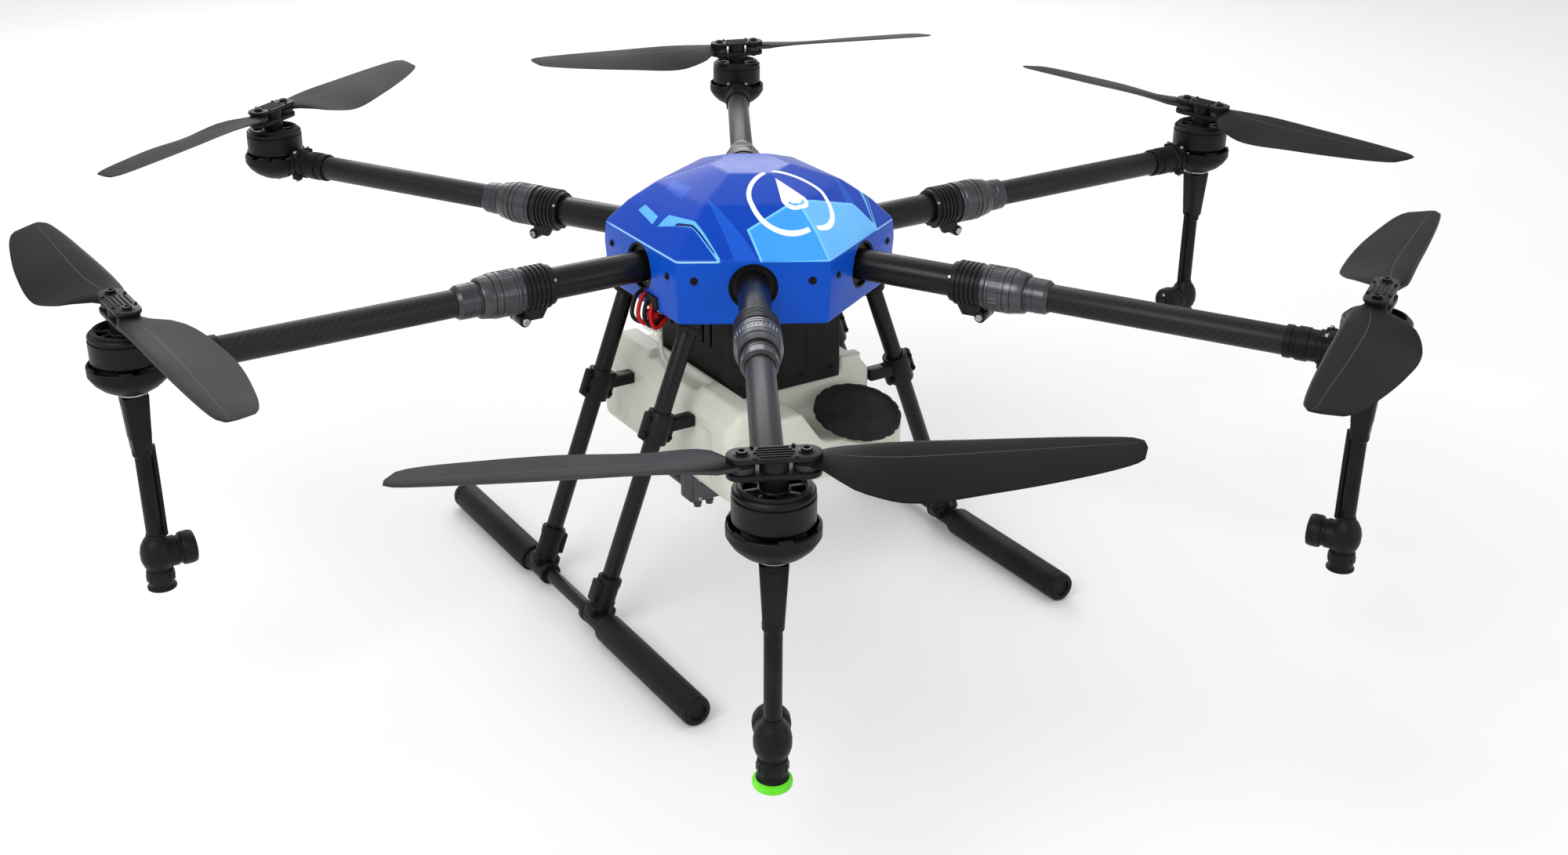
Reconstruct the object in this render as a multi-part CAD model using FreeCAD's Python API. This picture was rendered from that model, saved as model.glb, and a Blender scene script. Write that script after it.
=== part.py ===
"""Six-armed crop-spraying drone, modelled as separate pieces in millimetres.

Frame: +Z up, the ground at z = 0, the hub axis at x = y = 0. The drone's front looks along -Y and
its two landing skids run along Y. Each arm is drawn along +X with z measured from the arm's own
axis, then turned to its heading. Every function returns one piece, or one group of like pieces.
"""
import FreeCAD
import Part
import math
import os

V = FreeCAD.Vector
UP = V(0, 0, 1)
OUT = V(1, 0, 0)
ALONG_Y = V(0, 1, 0)

# --- Overall layout -------------------------------------------------------------------------
WHEEL_RADIUS = 702.0          # hub axis to motor axis
RIM_HEIGHT = 392.0            # motor-base rim above the skid axis
RIM_ABOVE_ARM = 8.0           # motor-base rim above the arm axis
ARM_HEADINGS = {
    "right": 0.0, "back_right": 60.0, "back_left": 120.0,
    "left": 180.0, "front_left": 240.0, "front_right": 300.0,
}
ARM_STEP = 60.0               # degrees from arm to arm
# headings of the blade line at rest, seen from above
PROP_HEADINGS = {
    "right": 100.5, "back_right": 164.5, "back_left": 34.5,
    "left": 92.0, "front_left": 155.0, "front_right": 31.0,
}
CLOCKWISE_ROTORS = ("left", "back_right", "front_right")
SPRAY_ARMS = ("right", "left", "front_left", "front_right")

# --- Clearances -----------------------------------------------------------------------------
RUN_FIT = 0.05                # radial, a pin or shaft that turns in a bore
BODY_GAP = 0.3                # between faces of pieces that move past each other
SPLIT_GAP = 1.0               # between the two halves of a fold joint
STANDING_GAP = 1.0            # cap skirt above the filler pocket's floor

# --- Landing gear ---------------------------------------------------------------------------
SKID_HALF_SPREAD = 248.0
SKID_TUBE_D = 16.0
SKID_TUBE_HALF = 292.0
SLEEVE_D = 34.0
SLEEVE_START = 95.0
SLEEVE_END = 288.0
END_CAP_LENGTH = 12.0
END_CAP_ROUND = 4.0
LEG_D = 20.0
LEG_WALL = 1.5
LEG_HALF_SPACING = 71.5       # legs stand at y = plus and minus this
LEG_TOP_X = 132.0
LEG_TOP_BELOW_RIM = 85.0
TEE_D = 26.0
TEE_HALF_LENGTH = 23.0
TEE_UPRIGHT_D = 28.0
TEE_UPRIGHT_LENGTH = 52.0
TEE_LEG_SEAT = 14.0           # along the leg from the skid axis to the leg tube's end
LEG_SLEEVE_D = 30.0
LEG_SLEEVE_DROP = 36.0        # leg bracket's sleeve below the hub plate
BRACKET_FLANGE = (36.0, 28.0, 5.0)
TANK_CLAMP_LENGTH = 36.0
TANK_CLAMP_BELOW_RIM = 172.0
CLAMP_LUG_WIDTH = 16.0
CLAMP_LUG_HEIGHT = 14.0

# --- Hub ------------------------------------------------------------------------------------
HUB_CORNER_R = 150.0
PLATE_T = 2.0
PLATE_SPACING = 39.0          # clear height between the two hub plates
PLATE_CABLE_HOLE_D = 50.0
PLATE_SLOT_D = 22.0
PLATE_SLOT_R = 112.0
PAYLOAD_SPACING = (50.0, 20.0)
PAYLOAD_HOLE_D = 3.2
PAYLOAD_Y = 108.0             # middle of the front and of the rear payload pattern
ROOT_CLAMP_START = 84.0
ROOT_CLAMP_LENGTH = 40.0
ROOT_CLAMP_WIDTH = 46.0
CONTROLLER = (62.0, 42.0, 18.0)
POWER_BOARD_D = 90.0
POWER_BOARD_T = 6.0
RECEIVER_D = 48.0
RECEIVER_H = 14.0
RECEIVER_Y = 72.0

# --- Cover: corner radius and height above the arm axis, ring by ring, and its shell --------
COVER_RINGS = [(163.0, -44.0), (167.0, 8.0), (165.0, 30.0), (105.0, 76.0), (45.0, 96.0)]
COVER_WALL = 2.5
COVER_ARM_HOLE_D = 54.0
COVER_SCREW_SIDE = 64.0
COVER_SCREW_D = 3.0
COVER_SCREW_HEAD_D = 5.5
COVER_SCREW_HEAD_T = 2.0
COVER_BRACKET_APOTHEM = 138.0
COVER_BRACKET_T = 10.0
COVER_BRACKET_REACH = 32.0
COVER_BELT_Z = COVER_RINGS[1][1]          # the cover screws sit on the cover's widest ring
COVER_BELT_APOTHEM = COVER_RINGS[1][0] * math.cos(math.radians(ARM_STEP / 2))

# --- Arms and fold joints -------------------------------------------------------------------
INNER_TUBE_D = 35.0
INNER_TUBE_WALL = 2.0
INNER_TUBE_START = 60.0
OUTER_TUBE_D = 30.0
OUTER_TUBE_WALL = 1.5
SPLIT_X = 291.0               # plane where the arm folds
SOCKET_START = 254.0
SOCKET_FLANGE_D = 44.0
SOCKET_FLANGE_T = 4.0
SOCKET_D = 47.0
SOCKET_RIB_D = 49.0
SOCKET_RIB_T = 2.5
SOCKET_RIB_COUNT = 5
SOCKET_RIB_PITCH = 5.5
SOCKET_SEAT = 22.0            # inner tube's depth in the socket
CABLE_BORE_D = 24.0
FOLD_PIN_D = 5.0
FOLD_PIN_DROP = 31.5          # pin axis below the arm axis
FOLD_EAR_R = 6.5
FORK_EAR_INNER = 8.0
FORK_EAR_T = 6.0
PIN_END = 1.0
EAR_ROOT = 14.0               # how far above the pin's level an ear is rooted, from the arm axis
FITTING_FLANGE_D = 50.0
FITTING_FLANGE_T = 5.5
BARREL_D = 38.0
BARREL_END = 366.0
TUBE_SEAT = 65.0              # outer tube's depth in the barrel
COLLAR_D = 50.0
COLLAR_PLAIN = 25.0
COLLAR_TAPER = 17.0
COLLAR_END_D = 43.0
COLLAR_GROOVE = (2.0, 1.2)    # width and depth

# --- Motor ----------------------------------------------------------------------------------
BASE_D = 79.0
BASE_DEPTH = 30.0
BASE_BAND = 9.0
BASE_FOOT_D = 34.0
BASE_WALL = 2.8
BASE_FLOOR = 3.0
MOTOR_SOCKET_D = 36.0
MOTOR_SOCKET_START = 50.0     # from the motor axis, towards the hub
TUBE_END = 40.0               # outer tube's end from the motor axis
ACCESSORY_HOLE_D = 3.2
ACCESSORY_PCD = 24.0
ACCESSORY_HOLES = 4
STATOR_D = 59.0
STATOR_BELOW_RIM = 2.0
STATOR_ABOVE_RIM = 24.0
STATOR_COLUMN_D = 18.0
ESC_BOARD_D = 54.0
ESC_BOARD_T = 5.0
ESC_BELOW_RIM = 10.0
SHAFT_D = 8.0
SHAFT_BELOW_RIM = 18.0
BELL_D = 69.5
BELL_WALL = 3.5
BELL_BOTTOM = 4.0             # bell above the rim
BELL_TOP = 32.0
BELL_ROOF = 3.0
BELL_WINDOWS = 6
BELL_WINDOW_D = 11.0
BELL_WINDOW_R = 19.5
BELL_CAP_D = 60.0
BELL_CAP_T = 3.0
BELL_ROOM = 2.0               # radial, left round the bell where the tube's socket ends

# --- Folding propeller ----------------------------------------------------------------------
PROP_R = 305.0
BLADE_PIN_R = 26.0
BLADE_PIN_D = 5.9
PROP_HUB_LOW = 43.0           # lower clamp plate above the rim
CLAMP_HALF_WIDTH = 13.0
CLAMP_LOWER_T = 5.0
CLAMP_UPPER_T = 4.0
HUB_SPACER_D = 24.0
BLADE_EYE_D = 22.0
BLADE_EYE_H = 10.0
PIN_HEAD_D = 10.0
PIN_HEAD_H = 3.0
# share of the radius, chord, leading-edge offset, pitch in degrees and thickness at each station
BLADE_STATIONS = [
    (0.115, 24.0, 11.0, 3.0, 7.0),
    (0.150, 48.0, 17.0, 4.0, 6.6),
    (0.200, 66.0, 19.0, 8.0, 6.2),
    (0.330, 78.0, 19.0, 13.0, 5.2),
    (0.560, 73.0, 18.0, 10.0, 4.2),
    (0.790, 59.0, 16.0, 8.0, 3.2),
    (0.935, 44.0, 13.0, 6.0, 2.4),
    (0.985, 30.0, 10.0, 5.5, 2.0),
    (1.000, 12.0, 6.0, 5.0, 1.6),
]
# one blade section as shares of chord behind the leading edge and of thickness
SECTION = [(0.0, 0.0), (0.25, 0.6), (0.65, 0.45), (1.0, 0.0), (0.65, -0.15), (0.25, -0.4)]

# --- Spray lance ----------------------------------------------------------------------------
LANCE_FLANGE = (30.0, 4.0)
LANCE_CONE = (24.0, 20.0, 59.0)
LANCE_ROD_D = 16.0
LANCE_ROD_LENGTH = 100.0
NOZZLE_BODY_D = 27.0
NOZZLE_BODY_H = 55.0
VALVE_D = 34.0
VALVE_REACH = 38.0
VALVE_DROP = 18.0             # valve axis below the rod's end
NOZZLE_RING_D = 35.0
NOZZLE_RING_H = 11.0
NOZZLE_TIP = (14.0, 3.0)
HOSE_D = 7.0
HOSE_OFFSET = 12.0
RINGED_LANCE = "front_left"   # the one lance with a nozzle ring

# --- Battery bay, tank and pump -------------------------------------------------------------
TRAY_HALF_WIDTH = 75.0
TRAY_FRONT = -80.0
TRAY_BACK = 88.0
TRAY_HEIGHT = 130.0
TRAY_WALL = 2.5
BATTERY_SIDE_GAP = 1.5
BATTERY_HEIGHT = 95.0
BATTERY_LENGTH = 155.0
BATTERY_HANDLE = (70.0, 14.0, 22.0)
BATTERY_HANDLE_BAR = 6.0
TANK_HALF_WIDTH = 120.0
TANK_HALF_LENGTH = 152.0
TANK_HEIGHT = 110.0
TANK_WALL = 3.0
TANK_CORNER_R = 24.0
TANK_FOOT_R = 12.0
TANK_BED_DEPTH = 19.5         # channel for the battery bay, below the tank's top
TANK_BED_SIDE_GAP = 2.0
POCKET_X = 6.0                # filler pocket: its left side, its back and its depth below the top
POCKET_Y = -76.0
POCKET_DEPTH = 62.0
POCKET_SLOPE = 44.0           # how far its left side leans back at the top
FILLER_X = 64.0
FILLER_Y = -128.0
FILLER_TILT = 14.0            # degrees forward
NECK_D = 68.0
NECK_BORE_D = 60.0
NECK_H = 18.0
NECK_SWELL_D = 76.0
NECK_SWELL_DEPTH = 34.0
CAP_D = 102.0
CAP_H = 20.0
CAP_ROOF = 5.0
CAP_GRIPS = 18
CAP_GRIP_D = 6.0
CAP_GRIP_OUTSET = 1.5         # centres of the grips outside the skirt
CAP_THREAD_FIT = 0.6          # radial, cap round its neck
PUMP_MOTOR_D = 38.0
PUMP_MOTOR_LENGTH = 58.0
PUMP_HEAD = (42.0, 34.0, 40.0)
PUMP_X = -92.0
PUMP_Y = -28.0

# --- Heights that follow --------------------------------------------------------------------
SKID_Z = SLEEVE_D / 2
RIM_Z = SKID_Z + RIM_HEIGHT
ARM_Z = RIM_Z - RIM_ABOVE_ARM
PLATE_Z = PLATE_SPACING / 2               # inner faces of the hub plates, from the arm axis
PLATE_UNDERSIDE = ARM_Z - PLATE_Z - PLATE_T
TRAY_BOTTOM = PLATE_UNDERSIDE - TRAY_HEIGHT
TANK_TOP = TRAY_BOTTOM + TANK_BED_DEPTH
TANK_BOTTOM = TANK_TOP - TANK_HEIGHT
POCKET_Z = TANK_TOP - POCKET_DEPTH
BLADE_Z = PROP_HUB_LOW + CLAMP_LOWER_T + BODY_GAP + BLADE_EYE_H / 2     # blade plane above the rim
UPPER_PLATE_Z = PROP_HUB_LOW + CLAMP_LOWER_T + BLADE_EYE_H + 2 * BODY_GAP
BASE_UNDERSIDE = RIM_ABOVE_ARM - BASE_DEPTH


def cyl(diameter, length, start, direction=UP):
    """Solid cylinder from a start point along a direction."""
    return Part.makeCylinder(diameter / 2, length, start, direction)


def tube(outer, inner, length, start, direction=UP):
    """Cylinder with a through bore."""
    return cyl(outer, length, start, direction).cut(cyl(inner, length, start, direction))


def cone(start_d, end_d, length, start, direction=UP):
    """Cone frustum from a start point along a direction."""
    return Part.makeCone(start_d / 2, end_d / 2, length, start, direction)


def box(x0, x1, y0, y1, z0, z1):
    """Box between two corners."""
    return Part.makeBox(x1 - x0, y1 - y0, z1 - z0, V(x0, y0, z0))


def face(points):
    """Flat face from a list of points."""
    return Part.Face(Part.makePolygon(points + [points[0]]))


def plate_xz(points, y0, y1):
    """Plate whose outline lies in the XZ plane, between two values of y."""
    return face([V(x, y0, z) for x, z in points]).extrude(V(0, y1 - y0, 0))


def fuse(shapes):
    """One solid from several that overlap or touch."""
    joined = shapes[0].multiFuse(shapes[1:]) if len(shapes) > 1 else shapes[0]
    return joined.removeSplitter()


def polar(radius, degrees, z=0.0):
    """Point at a radius and a heading."""
    angle = math.radians(degrees)
    return V(radius * math.cos(angle), radius * math.sin(angle), z)


def turned(shape, degrees, centre=V(0, 0, 0), axis=UP):
    """Copy turned about an axis through a point."""
    copy = shape.copy()
    copy.rotate(centre, axis, degrees)
    return copy


def on_arm(shape, heading):
    """Copy of an arm piece, lifted to the arm axis and turned to its heading."""
    copy = shape.copy()
    copy.translate(V(0, 0, ARM_Z))
    return turned(copy, heading)


def on_every_arm(shape):
    """The same piece on all six arms."""
    return [on_arm(shape, heading) for heading in ARM_HEADINGS.values()]


def hexagon(corner_radius, z):
    """Hexagon with a flat side facing each arm."""
    return [polar(corner_radius, ARM_STEP * (k + 0.5), z) for k in range(6)]


def hex_prism(corner_radius, z, height):
    """Six-sided plate."""
    return face(hexagon(corner_radius, z)).extrude(V(0, 0, height))


def mirrored_pair(shape, normal):
    """A piece and its mirror image across a plane through the hub axis."""
    return [shape, shape.mirror(V(0, 0, 0), normal)]


def four_corners(shape):
    """A piece at (+x, +y) and its copies in the other three quarters."""
    sides = mirrored_pair(shape, OUT)
    return sides + [s.mirror(V(0, 0, 0), ALONG_Y) for s in sides]


# --- Hub ------------------------------------------------------------------------------------
def hub_plate(z):
    """Carbon plate with a cable hole and a lightening hole beside each arm."""
    plate = hex_prism(HUB_CORNER_R, z, PLATE_T)
    holes = [cyl(PLATE_CABLE_HOLE_D, PLATE_T, V(0, 0, z))]
    for k in range(6):
        holes.append(cyl(PLATE_SLOT_D, PLATE_T, polar(PLATE_SLOT_R, ARM_STEP * (k + 0.5), z)))
    return plate.cut(Part.makeCompound(holes))


def payload_holes(z):
    """Four-hole rectangles at the front and the rear for a camera, radar or bracket."""
    across, along = PAYLOAD_SPACING
    holes = []
    for middle in (-PAYLOAD_Y, PAYLOAD_Y):
        for x in (-across / 2, across / 2):
            for y in (middle - along / 2, middle + along / 2):
                holes.append(cyl(PAYLOAD_HOLE_D, PLATE_T, V(x, y, z)))
    return Part.makeCompound(holes)


def hub_plates():
    """Lower plate with payload holes and upper plate, with the arms clamped between them."""
    lower = hub_plate(PLATE_UNDERSIDE).cut(payload_holes(PLATE_UNDERSIDE))
    return [lower, hub_plate(ARM_Z + PLATE_Z)]


def arm_root_clamp():
    """Block that holds an inner arm tube between the hub plates."""
    end = ROOT_CLAMP_START + ROOT_CLAMP_LENGTH
    side = ROOT_CLAMP_WIDTH / 2
    block = box(ROOT_CLAMP_START, end, -side, side, -PLATE_Z, PLATE_Z)
    return block.cut(cyl(INNER_TUBE_D, ROOT_CLAMP_LENGTH, V(ROOT_CLAMP_START, 0, 0), OUT))


def inner_arm_tube():
    """Carbon tube from the hub to the fold joint."""
    end = SOCKET_START + SOCKET_SEAT
    bore = INNER_TUBE_D - 2 * INNER_TUBE_WALL
    return tube(INNER_TUBE_D, bore, end - INNER_TUBE_START, V(INNER_TUBE_START, 0, 0), OUT)


def flight_electronics():
    """Controller and satellite receiver on the upper plate, power board on the lower one."""
    length, width, height = CONTROLLER
    deck = ARM_Z + PLATE_Z + PLATE_T
    controller = box(-length / 2, length / 2, -width / 2, width / 2, deck, deck + height)
    receiver = cyl(RECEIVER_D, RECEIVER_H, V(0, RECEIVER_Y, deck))
    board = cyl(POWER_BOARD_D, POWER_BOARD_T, V(0, 0, ARM_Z - PLATE_Z))
    return [controller, receiver, board]


def cover_bracket():
    """Corner bracket between the hub plates, which takes the cover's side screws."""
    half_side = COVER_BRACKET_APOTHEM * math.tan(math.radians(ARM_STEP / 2))
    inner_side = half_side - COVER_BRACKET_T * math.tan(math.radians(ARM_STEP / 2))
    inner = COVER_BRACKET_APOTHEM - COVER_BRACKET_T
    start = half_side - COVER_BRACKET_REACH

    def wing(side):
        points = [V(COVER_BRACKET_APOTHEM, side * half_side, -PLATE_Z),
                  V(COVER_BRACKET_APOTHEM, side * start, -PLATE_Z),
                  V(inner, side * start, -PLATE_Z),
                  V(inner, side * inner_side, -PLATE_Z)]
        body = face(points).extrude(V(0, 0, PLATE_SPACING))
        hole = cyl(COVER_SCREW_D, COVER_BRACKET_T, V(inner, side * COVER_SCREW_SIDE, COVER_BELT_Z), OUT)
        return body.cut(hole)

    return on_arm(fuse([wing(1), turned(wing(-1), ARM_STEP)]), 0.0)


def cover_screws():
    """Two pan-head screws beside each arm hole."""
    inner = COVER_BRACKET_APOTHEM - COVER_BRACKET_T
    screws = []
    for heading in ARM_HEADINGS.values():
        for side in (-COVER_SCREW_SIDE, COVER_SCREW_SIDE):
            shank = cyl(COVER_SCREW_D, COVER_BELT_APOTHEM - inner, V(inner, side, COVER_BELT_Z), OUT)
            head = cyl(COVER_SCREW_HEAD_D, COVER_SCREW_HEAD_T,
                       V(COVER_BELT_APOTHEM, side, COVER_BELT_Z), OUT)
            screws.append(on_arm(fuse([shank, head]), heading))
    return screws


def hex_loft(rings):
    """Solid with flat facets between hexagonal rings."""
    wires = [Part.makePolygon(hexagon(radius, z) + [hexagon(radius, z)[0]]) for radius, z in rings]
    return Part.makeLoft(wires, True, True)


def cover_shell():
    """Faceted cover over the hub, open underneath, with a hole for each arm."""
    wall = COVER_WALL / math.cos(math.radians(ARM_STEP / 2))
    inside = [(radius - wall, z - COVER_WALL) for radius, z in COVER_RINGS]
    shell = hex_loft(COVER_RINGS).cut(hex_loft(inside))
    shell.translate(V(0, 0, ARM_Z))
    reach = COVER_RINGS[1][0]
    cuts = on_every_arm(cyl(COVER_ARM_HOLE_D, reach, V(reach / 2, 0, 0), OUT))
    for heading in ARM_HEADINGS.values():
        for side in (-COVER_SCREW_SIDE, COVER_SCREW_SIDE):
            start = V(COVER_BRACKET_APOTHEM, side, COVER_BELT_Z)
            cuts.append(on_arm(cyl(COVER_SCREW_D, reach, start, OUT), heading))
    return shell.cut(Part.makeCompound(cuts))


# --- Arms -----------------------------------------------------------------------------------
def fold_pin_bore(diameter, half_length):
    """Cylinder on the fold pin's axis."""
    return cyl(diameter, 2 * half_length, V(SPLIT_X, -half_length, -FOLD_PIN_DROP), ALONG_Y)


def ear(face_x, root_x, y0, y1):
    """Hinge ear from a root on the arm down to the fold pin."""
    side = SPLIT_X + math.copysign(FOLD_EAR_R, root_x - face_x)
    web = plate_xz([(face_x, -EAR_ROOT), (root_x, -EAR_ROOT), (root_x, -SOCKET_D / 2),
                    (side, -FOLD_PIN_DROP), (face_x, -FOLD_PIN_DROP)], y0, y1)
    disc = cyl(2 * FOLD_EAR_R, y1 - y0, V(SPLIT_X, y0, -FOLD_PIN_DROP), ALONG_Y)
    return fuse([web, disc])


def inner_fold_socket():
    """Fixed half of a fold joint: a ribbed socket with a two-eared fork under it."""
    end = SPLIT_X - SPLIT_GAP / 2
    start = SOCKET_START + SOCKET_FLANGE_T
    parts = [cyl(SOCKET_FLANGE_D, SOCKET_FLANGE_T, V(SOCKET_START, 0, 0), OUT),
             cyl(SOCKET_D, end - start, V(start, 0, 0), OUT)]
    for k in range(SOCKET_RIB_COUNT):
        x = start + SOCKET_RIB_T + k * SOCKET_RIB_PITCH
        parts.append(cyl(SOCKET_RIB_D, SOCKET_RIB_T, V(x, 0, 0), OUT))
    parts.append(ear(end, start, FORK_EAR_INNER, FORK_EAR_INNER + FORK_EAR_T))
    parts.append(ear(end, start, -FORK_EAR_INNER - FORK_EAR_T, -FORK_EAR_INNER))
    seat = cyl(INNER_TUBE_D, SOCKET_SEAT, V(SOCKET_START, 0, 0), OUT)
    cable = cyl(CABLE_BORE_D, end - SOCKET_START, V(SOCKET_START, 0, 0), OUT)
    pin = fold_pin_bore(FOLD_PIN_D, FORK_EAR_INNER + FORK_EAR_T)
    return fuse(parts).cut(Part.makeCompound([fuse([seat, cable]), pin]))


def fold_pin():
    """Steel pin across the fork."""
    return fold_pin_bore(FOLD_PIN_D, FORK_EAR_INNER + FORK_EAR_T + PIN_END)


def outer_fold_fitting():
    """Moving half of a fold joint: a flange and barrel with one tongue between the fork's ears."""
    start = SPLIT_X + SPLIT_GAP / 2
    barrel_start = start + FITTING_FLANGE_T
    tongue = FORK_EAR_INNER - BODY_GAP
    body = fuse([cyl(FITTING_FLANGE_D, FITTING_FLANGE_T, V(start, 0, 0), OUT),
                 cyl(BARREL_D, BARREL_END - barrel_start, V(barrel_start, 0, 0), OUT),
                 ear(start, barrel_start, -tongue, tongue)])
    seat_start = BARREL_END - TUBE_SEAT
    bores = [cyl(OUTER_TUBE_D, TUBE_SEAT, V(seat_start, 0, 0), OUT),
             cyl(CABLE_BORE_D, seat_start - start, V(start, 0, 0), OUT)]
    pin = fold_pin_bore(FOLD_PIN_D + 2 * RUN_FIT, tongue)
    return body.cut(Part.makeCompound([fuse(bores), pin]))


def outer_arm():
    """Outer carbon tube in its fold fitting."""
    start = BARREL_END - TUBE_SEAT
    end = WHEEL_RADIUS - TUBE_END
    bore = OUTER_TUBE_D - 2 * OUTER_TUBE_WALL
    return [outer_fold_fitting(), tube(OUTER_TUBE_D, bore, end - start, V(start, 0, 0), OUT)]


def lock_collar():
    """Threaded collar that locks the fold, with a tapered and grooved outer end."""
    start = SPLIT_X + SPLIT_GAP / 2 + FITTING_FLANGE_T + BODY_GAP
    taper = start + COLLAR_PLAIN
    body = fuse([cyl(COLLAR_D, COLLAR_PLAIN, V(start, 0, 0), OUT),
                 cone(COLLAR_D, COLLAR_END_D, COLLAR_TAPER, V(taper, 0, 0), OUT)])
    width, depth = COLLAR_GROOVE
    cuts = [cyl(BARREL_D + 2 * BODY_GAP, COLLAR_PLAIN + COLLAR_TAPER, V(start, 0, 0), OUT)]
    for x in (taper - 2 * width, taper + 2 * width):
        cuts.append(tube(COLLAR_D + 2 * depth, COLLAR_D - 2 * depth, width, V(x, 0, 0), OUT))
    for cut in cuts:
        body = body.cut(cut)
    return body


# --- Motor ----------------------------------------------------------------------------------
MOTOR = V(WHEEL_RADIUS, 0, RIM_ABOVE_ARM)         # middle of the motor-base rim, on an arm


def at_motor(z):
    """Point on the motor axis, at a height above the rim."""
    return MOTOR + V(0, 0, z)


def bowl(inset, top):
    """Motor base as a solid of revolution, shrunk by an inset."""
    floor = -BASE_DEPTH + (BASE_FLOOR if inset else 0.0)
    knee = -BASE_BAND
    taper = cone(BASE_FOOT_D - 2 * inset, BASE_D - 2 * inset, knee - floor, at_motor(floor))
    return fuse([taper, cyl(BASE_D - 2 * inset, top - knee, at_motor(knee))])


def motor_base():
    """Bowl under the motor, with the outer tube's socket and the holes for an accessory."""
    socket_x = WHEEL_RADIUS - MOTOR_SOCKET_START
    socket = cyl(MOTOR_SOCKET_D, MOTOR_SOCKET_START - BELL_D / 2 + BODY_GAP, V(socket_x, 0, 0), OUT)
    bell_room = cyl(BELL_D + 2 * BELL_ROOM, BELL_TOP, at_motor(0))
    body = fuse([bowl(0.0, 0.0), socket.cut(bell_room)])
    cavity = bowl(BASE_WALL, BASE_WALL)
    tube_seat = cyl(OUTER_TUBE_D, MOTOR_SOCKET_START - TUBE_END, V(socket_x, 0, 0), OUT)
    cable = cyl(CABLE_BORE_D / 2, MOTOR_SOCKET_START, V(socket_x, 0, -BASE_WALL), OUT)
    cuts = [cavity, tube_seat, cable]
    for k in range(ACCESSORY_HOLES):
        spot = at_motor(-BASE_DEPTH) + polar(ACCESSORY_PCD / 2, 360.0 / ACCESSORY_HOLES * (k + 0.5))
        cuts.append(cyl(ACCESSORY_HOLE_D, BASE_FLOOR, spot))
    for cut in cuts:
        body = body.cut(cut)
    column_height = BASE_DEPTH - BASE_FLOOR - STATOR_BELOW_RIM
    column = cyl(STATOR_COLUMN_D, column_height, at_motor(BASE_FLOOR - BASE_DEPTH))
    drum = cyl(STATOR_D, STATOR_BELOW_RIM + STATOR_ABOVE_RIM, at_motor(-STATOR_BELOW_RIM))
    bearing = cyl(SHAFT_D + 2 * RUN_FIT, BASE_DEPTH + STATOR_ABOVE_RIM,
                  at_motor(-SHAFT_BELOW_RIM - BODY_GAP))
    stator = fuse([column, drum]).cut(bearing)
    board = tube(ESC_BOARD_D, STATOR_COLUMN_D, ESC_BOARD_T, at_motor(-ESC_BELOW_RIM - ESC_BOARD_T))
    return [body, stator, board]


def stadium(half_length, half_width, thickness, z):
    """Round-ended bar across the motor axis."""
    ends = [cyl(2 * half_width, thickness, at_motor(z) + V(x, 0, 0))
            for x in (-half_length, half_length)]
    middle = box(WHEEL_RADIUS - half_length, WHEEL_RADIUS + half_length, -half_width, half_width,
                 RIM_ABOVE_ARM + z, RIM_ABOVE_ARM + z + thickness)
    return fuse(ends + [middle])


def rotor():
    """Bell with its shaft, and the two clamp plates with the blade pins."""
    skirt_height = BELL_TOP - BELL_ROOF - BELL_BOTTOM
    skirt = tube(BELL_D, BELL_D - 2 * BELL_WALL, skirt_height, at_motor(BELL_BOTTOM))
    roof = cyl(BELL_D, BELL_ROOF, at_motor(BELL_TOP - BELL_ROOF))
    for k in range(BELL_WINDOWS):
        spot = at_motor(BELL_TOP - BELL_ROOF) + polar(BELL_WINDOW_R, 360.0 / BELL_WINDOWS * k)
        roof = roof.cut(cyl(BELL_WINDOW_D, BELL_ROOF, spot))
    shaft = cyl(SHAFT_D, SHAFT_BELOW_RIM + BELL_TOP - BELL_ROOF, at_motor(-SHAFT_BELOW_RIM))
    rim = tube(BELL_CAP_D, BELL_CAP_D - 2 * BELL_WALL, BELL_CAP_T, at_motor(BELL_TOP))
    boss = cyl(HUB_SPACER_D, PROP_HUB_LOW - BELL_TOP, at_motor(BELL_TOP))
    bell = fuse([skirt, roof, shaft, rim, boss])
    lower = stadium(BLADE_PIN_R, CLAMP_HALF_WIDTH, CLAMP_LOWER_T, PROP_HUB_LOW)
    spacer = cyl(HUB_SPACER_D, BLADE_EYE_H + 2 * BODY_GAP, at_motor(PROP_HUB_LOW + CLAMP_LOWER_T))
    lower = fuse([lower, spacer])
    upper = stadium(BLADE_PIN_R, CLAMP_HALF_WIDTH, CLAMP_UPPER_T, UPPER_PLATE_Z)
    top = UPPER_PLATE_Z + CLAMP_UPPER_T
    pins = []
    for x in (-BLADE_PIN_R, BLADE_PIN_R):
        shank = cyl(BLADE_PIN_D, top - PROP_HUB_LOW, at_motor(PROP_HUB_LOW) + V(x, 0, 0))
        head = cyl(PIN_HEAD_D, PIN_HEAD_H, at_motor(top) + V(x, 0, 0))
        lower = lower.cut(shank)
        upper = upper.cut(shank)
        pins.append(fuse([shank, head]))
    return [bell, lower, upper] + pins


def blade_section(share, chord, lead, pitch, thickness, hand):
    """Closed outline of a blade section, seen along the blade. A hand of 1 turns anticlockwise."""
    points = []
    for back, rise in SECTION:
        along = lead - back * chord
        up = rise * thickness
        tilt = math.radians(pitch)
        y = along * math.cos(tilt) - up * math.sin(tilt)
        z = along * math.sin(tilt) + up * math.cos(tilt)
        points.append(MOTOR + V(share * PROP_R, hand * y, BLADE_Z + z))
    return Part.makePolygon(points + [points[0]])


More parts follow.
